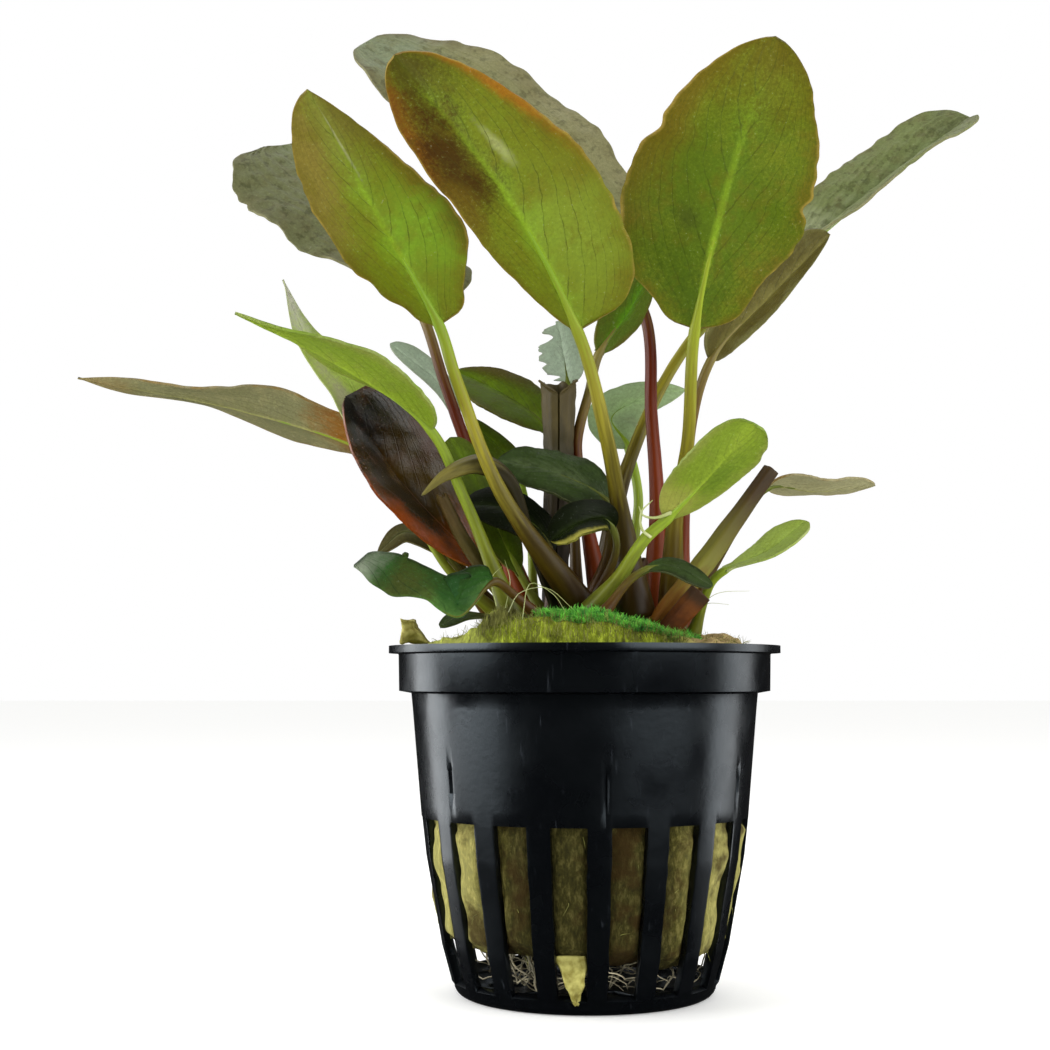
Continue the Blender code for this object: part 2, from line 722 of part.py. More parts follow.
        "blade": ((-12.4, -19.6, 55.4), (-16.6, -21.6, 51.8), (-22.2, -22.4, 54.0), (-29.9, -24.0, 57.6)),
        "right": (4.8, 0.4, 0.45),
        "left": (5.2, 0.35, 0.45),
        "facing": ((0.0, 0.3, 1.0), (0.0, 0.3, 1.0)),
        "fold": (55, 55),
        "along": 8,
        "stem_radius": (0.8, 0.7),
        "stem_steps": 3,
        "colour": DARK_GREEN,
        "stem_colour": GREEN_STEM,
    },
    "yellow_margin": {
        "stem": (),
        "blade": ((1.6, -9.4), (4.0, -12.0, 60.4), (2.6, -13.6, 64.0), (-1.2, -14.6, 63.4), (-4.8, -14.2, 61.2)),
        "right": (3.0, 0.6, 0.5),
        "left": (3.2, 0.6, 0.5),
        "facing": ((-0.3, -1.0, 0.3), (-0.1, -1.0, 0.5)),
        "stalk": 0.5,
        "colour": DARK_GREEN,
        "fold": (25, 25),
    },
    "shadowed": {
        "stem": (),
        "blade": ((-4.6, -3.4), (-5.2, -4.0, 62.0), (-10.3, -5.0, 66.2), (-16.4, -6.0, 66.8)),
        "right": (3.6, 0.6, 0.5),
        "left": (3.6, 0.6, 0.5),
        "facing": ((0.5, -1.0, 0.4), (0.5, -1.0, 0.6)),
        "stalk": 0.3,
        "colour": DARK_GREEN,
    },
    "round_green": {
        "stem": (),
        "blade": ((-6.6, -1.5), (-10.9, -1.0, 61.2), (-14.3, -0.5, 69.2), (-18.9, 0.5, 77.0)),
        "right": (3.8, 0.5, 0.4),
        "left": (3.6, 0.5, 0.4),
        "facing": ((0.5, -1.0, 0.4), (0.5, -1.0, 0.6)),
        "stalk": 0.2,
        "colour": GREEN,
    },
    "narrow_grey": {
        "stem": (),
        "blade": ((-8.8, 8.6), (-15.1, 9.0, 69.0), (-19.8, 9.0, 84.6), (-28.2, 9.0, 92.2)),
        "right": (2.4, 1.0, 0.5),
        "left": (1.4, 0.8, 0.6),
        "facing": ((0.3, -1.0, 0.4), (0.3, -1.0, 0.4)),
        "stalk": 0.65,
        "colour": GREY_GREEN,
    },
    "narrow_green": {
        "stem": (),
        "blade": ((-6.6, 11.0), (-9.0, 11.5, 72.5), (-17.0, 12.5, 82.0)),
        "right": (2.0, 0.6, 0.7),
        "left": (2.0, 0.6, 0.7),
        "facing": ((0.3, -1.0, 0.4), (0.3, -1.0, 0.4)),
        "stalk": 0.6,
        "colour": GREEN,
    },
    "pale_left": {
        "stem": (),
        "blade": ((-11.6, -4.0), (-19.7, -5.5, 59.2), (-31.6, -8.0, 82.0), (-38.4, -9.0, 89.9), (-41.4, -10.0, 97.4)),
        "right": (3.8, 0.8, 1.3),
        "left": (3.6, 0.8, 1.3),
        "facing": ((0.3, -1.0, 0.4), (0.3, -1.0, 0.4)),
        "stalk": 0.3,
        "colour": GREEN,
        "along": 9,
    },
    "small_dark": {
        "stem": (),
        "blade": ((2.2, -18.6), (6.0, -18.6, 56.2), (10.3, -18.8, 57.6), (16.0, -18.6, 54.9)),
        "right": (1.5, 0.6, 0.5),
        "left": (1.5, 0.6, 0.5),
        "facing": ((0.0, -1.0, 0.8), (0.0, -1.0, 0.8)),
        "along": 7,
        "colour": DARK_GREEN,
        "stalk": 0.45,
    },
    "tiny_left": {
        "stem": (),
        "blade": ((-12.6, -13.4), (-16.5, -17.5, 51.2), (-19.2, -19.5, 49.6)),
        "right": (1.8, 0.6, 0.6),
        "left": (1.8, 0.6, 0.6),
        "facing": ((0.0, -0.4, 1.0), (0.0, -0.4, 1.0)),
        "along": 5,
        "colour": DARK_GREEN,
    },
    "behind_brown": {
        "stem": (),
        "blade": ((-12.6, -0.6), (-20.1, -3.0, 61.1), (-24.9, -4.0, 63.1), (-28.5, -5.5, 60.0)),
        "right": (1.8, 0.7, 0.7),
        "left": (1.8, 0.7, 0.7),
        "facing": ((0.0, -1.0, 0.8), (0.0, -1.0, 0.8)),
        "stalk": 0.45,
        "along": 7,
        "colour": GREY_GREEN,
    },
}

# Cut stalks, sheaths and a rolled leaf: points, first and last radius, colour.
ROUND_PIECES = {
    "hollow_cut_stalk": (
        ((-4.2, 0.2), (-3.6, 0.2, 68.0), (-3.5, 0.2, 85.0)),
        (1.5, 2.0),
        BROWN_STEM,
    ),
    "cut_stalk_right": (
        ((10.6, -9.0), (15.4, -8.4, 57.6), (20.5, -7.6, 64.5), (25.8, -6.6, 71.8)),
        (1.9, 1.1),
        BROWN_STEM,
    ),
    "cut_stub_right": (
        ((12.2, -12.8), (15.2, -13.4, 54.4)),
        (1.7, 1.8),
        (0.12, 0.06, 0.02),
    ),
    "sheath_left": (
        ((-9.6, -9.8), (-13.2, -11.5, 56.8), (-16.7, -12.3, 61.9), (-19.4, -13.0, 67.4)),
        (1.0, 0.8),
        GREEN_STEM,
    ),
    "sheath_middle": (
        ((7.6, -1.6), (7.4, -2.2, 59.4)),
        (1.7, 1.4),
        BROWN_STEM,
    ),
    "rolled_leaf": (
        (
            (-4.6, -8.6),
            (-7.6, -10.5, 62.0),
            (-10.4, -13.2, 69.0),
            (-14.0, -15.6, 71.2),
            (-18.6, -17.2, 69.6),
            (-21.8, -18.0, 66.8),
        ),
        (0.7, 1.0),
        (0.14, 0.12, 0.03),
    ),
}


def make_round_piece(name, ends, radii, colour, steps=6):
    points = rooted(ends, radii[0])
    last = len(points) - 1
    places = [path_between(points, 0, last, step / steps)[0] for step in range(steps + 1)]
    widths = [radii[0] + (radii[1] - radii[0]) * step / steps for step in range(steps + 1)]
    return tube(name, places, widths, material(name, colour, 0.6))


def main():
    for old in list(bpy.data.objects):
        bpy.data.objects.remove(old)
    make_net_pot()
    make_rock_wool()
    make_wool_corner()
    make_moss_mat()
    make_root_tangle()
    for name, leaf in LEAVES.items():
        make_blade(name, leaf)
        if leaf["stem"]:
            make_stem(name, leaf)
    for name, (ends, radii, colour) in ROUND_PIECES.items():
        make_round_piece(name, ends, radii, colour)


main()
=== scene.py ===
"""A potted lagenandra: the looks of its net pot, rock wool, moss, roots, stems and leaves.

Places and sizes are in millimetres and become metres where a mesh is made. The
origin is the centre of the pot's base, +Z is up and -Y is the front.
"""

import math
import random
from functools import partial

import bpy
import numpy as np
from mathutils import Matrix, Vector, noise


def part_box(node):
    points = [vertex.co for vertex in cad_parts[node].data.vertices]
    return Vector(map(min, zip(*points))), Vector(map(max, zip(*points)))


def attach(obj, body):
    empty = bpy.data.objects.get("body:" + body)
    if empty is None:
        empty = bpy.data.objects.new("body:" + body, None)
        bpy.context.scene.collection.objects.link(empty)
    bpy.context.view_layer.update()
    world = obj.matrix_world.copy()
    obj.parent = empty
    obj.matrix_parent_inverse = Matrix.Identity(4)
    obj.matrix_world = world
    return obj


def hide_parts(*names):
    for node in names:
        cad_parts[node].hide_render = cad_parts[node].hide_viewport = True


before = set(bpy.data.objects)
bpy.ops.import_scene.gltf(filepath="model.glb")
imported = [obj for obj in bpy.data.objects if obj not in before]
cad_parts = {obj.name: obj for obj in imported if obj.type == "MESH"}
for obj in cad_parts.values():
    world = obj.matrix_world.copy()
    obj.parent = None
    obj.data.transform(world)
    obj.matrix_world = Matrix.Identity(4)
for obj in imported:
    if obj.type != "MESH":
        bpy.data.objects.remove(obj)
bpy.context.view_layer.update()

bl_info = {
    "name": "Potted lagenandra",
    "version": (1, 0, 0),
    "blender": (4, 5, 0),
    "location": "View3D > Sidebar > Lagenandra",
    "description": "Builds the visible surfaces of a lagenandra in a slotted net pot",
    "category": "Object",
}

MM = 0.001
BODY = "root"

# The pot's sizes between its ends, which the frame gives.
WALL = 1.0
BAND_RADIUS = 25.9
BAND_BOTTOM = 41.3
BODY_RADIUS = 24.1
SLOT_TOP_RADIUS = 22.6
SLOT_TOP = 24.2
SLOT_BOTTOM = 2.0
BASE_RADIUS = 16.8
BASE_ROUNDING = 1.6
FOOT_ROUNDING = 1.5
FOOT_STEPS = 5
BARS = ((19.0, 22.0), (12.5, 20.8), (7.0, 19.8))
SLOT_ANGLE = math.radians(12.0)
FRONT_SLOT_ANGLE = math.radians(-7.1)
DRAIN_OUTER = 13.0
DRAIN_INNER = 6.0
DRAINS = 9
# How near a slot's side counts as its edge, and how thin the floor's outermost skin is.
SLOT_EDGE = math.radians(0.6)
FLOOR_SKIN = 0.01
GROOVE_DEPTH = 0.45
POT_COLUMNS = 360

# The wool, and the moss cushion on it.
WOOL_BOTTOM = 7.0
WOOL_SIDE = 47.3
WOOL_HILLS = (
    ((-2.0, -4.0), (13.0, 16.0), 3.9),
    ((-12.5, -9.0), (3.6, 5.0), 2.2),
    ((-1.0, -20.0), (9.0, 5.0), 2.2),
    ((19.0, 3.0), (5.0, 8.0), 1.3),
)
WOOL_WAVE = 0.25
# Shares of the wool's grid at which its underside ends, its side starts and its top starts.
UNDERSIDE = 0.12
SIDE_START = 0.16
LID = 0.6
# Shares of the loose fibres: on the tuft, and up to that on the front edge and on the top.
ON_TUFT = 0.2
ON_EDGE = 0.42
ON_TOP = 0.97
MOSS_CENTRE = (3.0, -5.0)
MOSS_RADIUS = 12.4
MOSS_EDGE = 0.4
MOSS_RISE = 1.3
# The moss's front edge stands this far from the pot's axis.
MOSS_FRONT = 21.9
FLAP_X = -2.3
HAIR_STEPS = 12
GAP = 0.35
FOOT_GAP = 0.7

BLADE_COLLAR = 0.8
BLADE_TIP = 0.25
STATIONS = 121
# How near the vertices of a seam are that become one.
SEAM_REACH = 0.002
# How far below its bed's top a stem starts, and how much of the blade its rib runs along.
ROOTING = 2.4
RIB_LENGTH = 0.72

# Side veins for each blade's length, how far along the blade one takes to reach the
# margin, and how near the margin the veins' arch is steepest.
VEINS = 7.0
VEIN_REACH = 0.5
VEIN_EDGE = 0.96

# A blade's surface: where along it its waist is, how cupped its halves are, how it
# buckles towards its margins, and the groove over its midrib.
WAIST_AT = 0.52
WAIST_REACH = 0.12
CUPPING = 0.05
BUCKLE = 0.3
BUCKLE_GRAIN = 5.0
MIDRIB_DEPTH = 0.25
MIDRIB_REACH = 0.05

# Each leaf: its stem's points from the moss up, its blade's points from collar to
# tip, its right and left margins as width, base and tip shape, and where its upper
# side faces at collar and tip, or all along. Right and left are those of the upper
# side with the tip up. A leaf without a stem has a stalk, a share of its blade. Then
# how far its right and left halves, or both, fold up in degrees, its ripples' height
# and number, its bays in the right (1) or left (-1) margin as place, reach and depth,
# its waist, how far its right or left margin is torn, how puckered it is, and its
# look. Patches say where across and along, reach across and along, colour, strength.
LEAVES = {
    "front_left": dict(
        stem=((-1.6, -11.0), (-11.5, -18.0, 67.5), (-17.4, -19.5, 82.5)),
        blade=((-19.5, -20.5, 89.0), (-27.4, -29.0, 102.2), (-34.8, -37.0, 114.6)), right=(7.8, 0.6, 0.55),
        left=(8.8, 0.35, 1.0), facing=((0.1, 1.0, 0.6), (0.0, 1.0, 0.6)), fold=(12,), ripple=(0.4, 2.0),
        bays=((-1, 0.08, 0.1, 0.3), (1, 0.1, 0.05, 0.16), (1, 0.24, 0.04, 0.08)), stem_radius=(1.3, 0.9),
        look="olive", stem_look="yellow", grid=(56, 110),
        patches=(
            (0.5, 0.9, 0.6, 0.36, "#7C7630", 0.65), (0.9, 0.75, 0.3, 0.5, "#857430", 0.8),
            (0.1, 0.95, 0.3, 0.4, "#6E6420", 0.7), (0.25, 0.35, 0.34, 0.3, "#78A01E", 0.7),
            (0.47, 0.8, 0.025, 0.2, "#B0B08A", 0.4),
        ),
    ),
    "front_middle": dict(
        stem=((6.7, -8.0), (4.9, -10.0, 64.3), (2.4, -15.0, 75.9)),
        blade=((-1.4, -20.0, 88.3), (-10.8, -31.0, 103.5), (-23.8, -42.0, 117.1)), right=(6.8, 0.7, 0.5),
        left=(11.4, 0.26, 0.62), facing=((0.0, 1.0, 0.6),), fold=(10, 14), ripple=(0.4, 2.0),
        stem_radius=(1.6, 0.95), look="olive", stem_look="yellow", grid=(56, 120),
        patches=(
            (0.5, 0.98, 0.9, 0.24, "#4C4204", 0.85), (0.98, 0.76, 0.34, 0.34, "#7E4C06", 0.92),
            (0.72, 0.66, 0.42, 0.3, "#4A3004", 0.95), (0.9, 0.5, 0.2, 0.16, "#6A560C", 0.75),
            (0.1, 0.3, 0.3, 0.5, "#70720E", 0.7), (0.0, 0.75, 0.12, 0.4, "#A0660E", 0.85),
            # The small pale streak #C0C48C beside the midrib is a painted highlight, a sheen.
            (0.36, 0.62, 0.06, 0.12, "#C0C48C", 0.4), (0.25, 0.25, 0.4, 0.3, "#80962A", 0.6),
        ),
    ),
    "front_right": dict(
        stem=((12.2, -2.6), (12.6, -4.0, 64.9), (14.0, -9.0, 75.4)),
        blade=((14.6, -14.0, 89.9), (18.2, -23.0, 107.2), (23.1, -32.0, 123.2)), right=(13.0, 0.45, 0.7),
        left=(11.9, 0.48, 0.6), facing=((0.0, 1.0, 0.6),), fold=(8,), ripple=(0.5, 2.5),
        bays=((-1, 0.16, 0.1, 0.2), (-1, 0.47, 0.03, 0.08), (1, 0.62, 0.05, 0.07), (1, 0.06, 0.08, 0.25)),
        stem_radius=(1.35, 0.95), look="olive", stem_look="olive", grid=(64, 110),
        patches=(
            (0.5, 0.4, 0.8, 0.6, "#526A06", 0.8), (0.5, 1.05, 0.8, 0.4, "#64580A", 0.8),
            (0.97, 0.7, 0.24, 0.5, "#6E6008", 0.8), (0.66, 0.36, 0.1, 0.07, "#464E10", 0.55),
            (0.5, 0.05, 0.5, 0.3, "#4C6406", 0.7),
        ),
    ),
    "back_top": dict(
        stem=((10.0, 3.4), (10.8, 4.0, 65.6), (10.2, 6.0, 80.4)),
        blade=((8.8, 10.0, 98.5), (-10.5, 19.0, 125.2), (-34.6, 26.0, 144.0)), right=(13.2, 0.5, 0.4),
        left=(10.5, 0.5, 0.45), facing=((0.3, -1.0, 0.5), (0.3, -1.0, 0.6)), fold=(10,), ripple=(0.7, 3.0),
        stem_radius=(1.3, 1.0), look="grey", stem_look="red", grid=(64, 130), pucker=0.22,
        patches=(
            (0.2, 0.5, 0.6, 0.45, "#4A421E", 0.85), (0.95, 0.45, 0.3, 0.6, "#96926A", 0.7),
            (0.5, 0.97, 0.7, 0.2, "#8A9478", 0.8),
        ),
    ),
    "back_left": dict(
        stem=((-6.8, 5.4), (-17.0, 4.6, 77.5), (-19.8, 5.0, 85.4)),
        blade=((-24.0, 6.0, 97.4), (-34.8, 15.0, 111.6), (-46.6, 23.0, 126.6)), right=(13.8, 0.2, 0.26),
        left=(13.4, 1.0, 0.35), facing=((0.4, -1.0, 0.8),), ripple=(0.6, 3.0), stem_radius=(1.2, 0.9),
        look="grey", stem_look="red", grid=(64, 110), pucker=0.3,
        patches=((0.5, 0.5, 2.0, 2.0, "#666C48", 0.55),),
    ),
    "back_right": dict(
        stem=((2.5, 6.5), (6.4, 9.0, 72.7), (16.7, 15.0, 93.7)),
        blade=((29.4, 18.0, 104.4), (45.4, 22.0, 118.2), (63.2, 27.0, 132.4)), right=(8.0, 0.5, 0.35),
        left=(8.0, 0.5, 0.35), facing=((-0.6, -0.6, 1.0), (-0.6, -0.8, 0.9)), fold=(25,),
        ripple=(0.5, 2.0), stem_radius=(1.2, 0.9), look="grey", stem_look="yellow", grid=(48, 110),
        pucker=0.25,
        patches=(
            (0.5, 0.6, 2.0, 2.0, "#74824A", 0.7), (0.5, 0.1, 0.9, 0.3, "#A8AE88", 0.85),
            (0.5, 0.95, 0.6, 0.14, "#6A7048", 0.7),
        ),
    ),
    "dark_right": dict(
        stem=((13.9, 4.6), (15.4, 3.0, 77.1)),
        blade=((18.4, 1.0, 88.4), (26.6, 4.0, 97.8), (36.8, 8.0, 108.5)), right=(6.0, 0.5, 0.6),
        left=(5.6, 0.5, 0.6), facing=((-0.6, 0.7, 0.7),), fold=(15,), stem_radius=(1.1, 0.8),
        look="bronze", stem_look="red", grid=(40, 90),
    ),
    "far_left": dict(
        stem=((-11.0, 6.5), (-17.6, 6.5, 58.6), (-22.6, 5.5, 66.8)),
        blade=((-27.6, 4.0, 74.0), (-47.9, 9.0, 81.8), (-75.5, 14.0, 88.0)), right=(9.0, 0.4, 1.5),
        left=(7.8, 0.3, 1.3), facing=((0.1, 0.38, 1.0), (0.1, 0.25, 1.0)), fold=(10,), ripple=(0.7, 2.0),
        stem_radius=(1.3, 0.9), look="faded", stem_look="yellow", grid=(48, 120),
        patches=(
            (0.5, 0.5, 2.0, 2.0, "#6E6C4A", 0.7), (0.5, 0.06, 1.3, 0.26, "#8A5600", 1.0),
            (0.5, 0.95, 1.0, 0.16, "#8A7446", 0.7),
        ),
    ),
    "brown_folded": dict(
        stem=((-9.6, -5.6), (-11.7, -7.0, 55.0)),
        blade=((-13.4, -7.6, 57.4), (-24.4, -10.0, 68.8), (-32.3, -14.0, 80.4)), right=(7.2, 0.7, 0.3),
        left=(6.2, 0.75, 0.6), facing=((0.3, -1.0, 0.6),), fold=(20,), stem_radius=(1.2, 1.0),
        look="brown", stem_look="orange", grid=(48, 90), pucker=0.03,
        patches=(
            (0.3, 0.9, 0.9, 0.3, "#0E0C06", 0.95), (0.7, 0.45, 0.4, 0.4, "#4E3A06", 0.9),
            (0.0, 0.3, 0.3, 0.4, "#8A3E0C", 0.95), (0.5, 0.05, 0.9, 0.34, "#8A460C", 0.95),
        ),
    ),
    "green_left": dict(
        stem=((-10.0, -13.0), (-12.9, -14.0, 58.7), (-16.2, -14.5, 66.6)),
        blade=((-20.8, -16.0, 75.8), (-30.5, -23.0, 82.3), (-44.1, -32.0, 88.0)), right=(3.8, 0.5, 0.9),
        left=(6.5, 0.5, 0.9), facing=((0.1, -0.05, 1.0),), fold=(10, 12), ripple=(0.5, 1.5),
        stem_radius=(1.1, 0.8), look="green", stem_look="green", grid=(40, 90),
    ),
    "olive_middle": dict(
        stem=((-3.4, 8.0), (-4.6, 8.0, 68.8)),
        blade=((-5.0, 8.5, 79.0), (-10.5, 11.0, 84.5), (-18.8, 14.0, 89.0)), right=(4.4, 0.5, 0.7),
        left=(5.4, 0.6, 0.6), facing=((0.3, -1.0, 0.6),), fold=(10,), stem_radius=(1.0, 0.8),
        look="moss_green", stem_look="brown", grid=(36, 64),
        patches=((0.95, 0.7, 0.3, 0.5, "#5A4A12", 0.8),),
    ),
    "dark_green": dict(
        stem=((1.2, -3.5), (3.4, -5.0, 61.0)),
        blade=((2.9, -7.6, 67.0), (-3.6, -9.4, 70.6), (-12.0, -11.0, 72.3)), right=(4.4, 0.5, 0.7),
        left=(4.0, 0.5, 0.7), facing=((0.2, -1.0, 0.9), (0.2, -1.0, 0.8)), fold=(5, -10),
        ripple=(0.4, 1.5), stem_radius=(1.0, 0.8), look="dark", stem_look="brown", grid=(36, 64),
        pucker=0.12,
    ),
    "torn_grey": dict(
        stem=((-0.4, 11.5), (-1.4, 9.5, 76.3)),
        blade=((-2.0, 8.5, 86.0), (-2.6, 9.5, 91.0), (-3.4, 11.0, 96.0)), right=(3.4, 0.5, 0.5),
        left=(3.8, 0.5, 0.5), facing=((0.0, -1.0, 0.3),), stem_radius=(0.9, 0.7), look="slate",
        stem_look="brown", grid=(32, 48), torn=-1.5,
    ),
    "young_middle": dict(
        stem=((2.6, 1.5), (-0.8, 1.5, 75.4), (1.0, 1.0, 84.0)),
        blade=((2.4, 0.8, 89.3), (6.5, 1.0, 95.5), (10.5, 2.0, 103.0)), right=(3.4, 0.6, 0.6),
        left=(3.4, 0.6, 0.6), facing=((-0.4, 1.0, 0.5),), fold=(15,), stem_radius=(1.1, 0.8),
        look="moss_green", stem_look="red", grid=(32, 56),
    ),
    "pale_back": dict(
        stem=((4.6, 12.5), (8.6, 13.0, 68.0)),
        blade=((7.2, 13.5, 77.4), (4.8, 15.0, 82.0), (9.4, 17.0, 85.2), (16.3, 19.0, 87.0)),
        right=(3.6, 0.4, 0.8), left=(3.8, 0.4, 0.7), facing=((0.0, -1.0, 0.4), (0.0, -1.0, 0.5)),
        stem_radius=(1.0, 0.8), look="pale", stem_look="green", grid=(36, 64),
    ),
    "green_right": dict(
        stem=((2.0, -15.0), (4.2, -16.0, 56.2), (7.5, -16.5, 61.2)),
        blade=((10.4, -17.0, 63.8), (15.4, -22.0, 69.0), (20.4, -27.0, 75.0)), right=(4.2, 0.4, 0.4),
        left=(4.8, 0.8, 0.35), facing=((-0.3, 1.0, 0.5),), fold=(10,), ripple=(0.3, 1.5),
        stem_radius=(1.2, 0.9), look="green", stem_look="green", grid=(40, 80),
        patches=((0.35, 0.5, 0.3, 0.3, "#5E7A1A", 0.6), (0.7, 0.1, 0.9, 0.3, "#A8A650", 0.8)),
    ),
    "thin_olive": dict(
        stem=((13.6, 8.0), (22.6, 8.0, 65.0)),
        blade=((27.3, 8.5, 70.8), (34.5, 10.5, 70.6), (43.7, 12.0, 71.6)), right=(4.2, 0.5, 0.7),
        left=(4.2, 0.5, 0.7), facing=((-0.1, 0.2, 1.0), (0.0, 0.2, 1.0)), fold=(6,), ripple=(0.3, 1.5),
        stem_radius=(1.0, 0.7), look="faded", stem_look="brown", grid=(32, 64), pucker=0.12,
        patches=((0.5, 0.5, 2.0, 2.0, "#AAA680", 0.7),),
    ),
    "small_right": dict(
        stem=((15.6, -0.2), (17.6, -1.6, 56.0)),
        blade=((19.6, -2.5, 58.0), (25.6, -1.0, 60.6), (31.7, 2.0, 65.2)), right=(3.0, 1.0, 0.5),
        left=(3.0, 1.0, 0.5), facing=((-0.3, -0.6, 1.0),), fold=(10,), stem_radius=(0.8, 0.7),
        look="pale_green", stem_look="green", grid=(32, 64),
    ),
    "cup_left": dict(
        stem=((-6.6, -16.2), (-9.6, -17.6, 53.8)),
        blade=(
            (-12.4, -19.6, 55.4), (-16.8, -21.6, 51.0), (-21.4, -22.4, 53.4), (-25.6, -23.2, 53.8),
            (-29.9, -24.0, 57.2),
        ),
        right=(5.0, 0.4, 0.3), left=(6.8, 0.35, 0.3), facing=((0.0, 0.3, 1.0), (0.0, 0.0, 1.0)),
        fold=(55, 50), stem_radius=(0.8, 0.7), look="blue_green", stem_look="brown", grid=(40, 80),
        pucker=0.14, waist=0.4,
        patches=((0.5, 1.0, 0.8, 0.22, "#8C9480", 0.85), (0.5, 0.7, 0.8, 0.25, "#4A4E1E", 0.85)),
    ),
    "yellow_margin": dict(
        stem=(),
        blade=(
            (1.6, -9.4), (4.0, -12.0, 60.4), (2.6, -13.6, 64.0), (-1.2, -14.6, 63.4), (-4.8, -14.2, 61.2),
        ),
        right=(3.0, 0.6, 0.5), left=(3.2, 0.6, 0.5), facing=((-0.3, -1.0, 0.3), (-0.1, -1.0, 0.5)),
        # Its blade's near-black shade look is painted shade; its yellow margin is its own colour.
        stalk=0.5, fold=(25,), look="shade", stem_look="brown", grid=(32, 56),
        patches=((0.0, 0.7, 0.2, 0.7, "#B4AE4C", 1.0),), torn=-0.5,
    ),
    "shadowed": dict(
        stem=(), blade=((-4.6, -3.4), (-5.2, -4.0, 62.0), (-10.3, -5.0, 66.2), (-16.4, -6.0, 66.8)),
        right=(3.6, 0.6, 0.5), left=(3.6, 0.6, 0.5), facing=((0.5, -1.0, 0.4), (0.5, -1.0, 0.6)),
        # The shade look paints this leaf near-black as painted shade.
        stalk=0.3, look="shade", stem_look="brown", grid=(32, 56), pucker=0.1,
    ),
    "round_green": dict(
        stem=(), blade=((-6.6, -1.5), (-10.9, -1.0, 61.2), (-14.3, -0.5, 69.2), (-18.9, 0.5, 77.0)),
        right=(3.8, 0.5, 0.4), left=(3.6, 0.5, 0.4), facing=((0.5, -1.0, 0.4), (0.5, -1.0, 0.6)),
        stalk=0.2, look="moss_green", stem_look="green", grid=(32, 56),
    ),
    "narrow_grey": dict(
        stem=(), blade=((-8.8, 8.6), (-15.1, 9.0, 69.0), (-19.8, 9.0, 84.6), (-28.2, 9.0, 92.2)),
        right=(2.4, 1.0, 0.5), left=(1.4, 0.8, 0.6), facing=((0.3, -1.0, 0.4),), stalk=0.65, look="slate",
        stem_look="brown", grid=(24, 64),
    ),
    "narrow_green": dict(
        stem=(), blade=((-6.6, 11.0), (-9.0, 11.5, 72.5), (-17.0, 12.5, 82.0)), right=(2.0, 0.6, 0.7),
        left=(2.0, 0.6, 0.7), facing=((0.3, -1.0, 0.4),), stalk=0.6, look="moss_green", stem_look="green",
        grid=(24, 64),
    ),
    "pale_left": dict(
        stem=(),
        blade=(
            (-11.6, -4.0), (-19.7, -5.5, 59.2), (-31.6, -8.0, 82.0), (-38.4, -9.0, 89.9),
            (-41.4, -10.0, 97.4),
        ),
        right=(3.8, 0.8, 1.3), left=(3.6, 0.8, 1.3), facing=((0.3, -1.0, 0.4),), stalk=0.3,
        look="pale_green", stem_look="green", grid=(32, 90),
        patches=(
            (0.5, 1.0, 1.0, 0.3, "#C4C2B4", 0.95), (0.2, 0.55, 0.3, 0.3, "#A59C88", 0.7),
            (0.5, 0.2, 0.6, 0.3, "#4E5E14", 0.8),
        ),
    ),
    "small_dark": dict(
        stem=(), blade=((2.2, -18.6), (6.0, -18.6, 56.2), (10.3, -18.8, 57.6), (16.0, -18.6, 54.9)),
        right=(1.5, 0.6, 0.5), left=(1.5, 0.6, 0.5), facing=((0.0, -1.0, 0.8),), stalk=0.45, look="dark",
        stem_look="brown", grid=(24, 56),
    ),
    "tiny_left": dict(
        stem=(), blade=((-12.6, -13.4), (-16.5, -17.5, 51.2), (-19.2, -19.5, 49.6)), right=(1.8, 0.6, 0.6),
        left=(1.8, 0.6, 0.6), facing=((0.0, -0.4, 1.0),), look="dark", stem_look="green", grid=(20, 40),
    ),
    "behind_brown": dict(
        stem=(), blade=((-12.6, -0.6), (-20.1, -3.0, 61.1), (-24.9, -4.0, 63.1), (-28.5, -5.5, 60.0)),
        right=(1.8, 0.7, 0.7), left=(1.8, 0.7, 0.7), facing=((0.0, -1.0, 0.8),), stalk=0.45, look="bronze",
        stem_look="brown", grid=(20, 56),
    ),
}

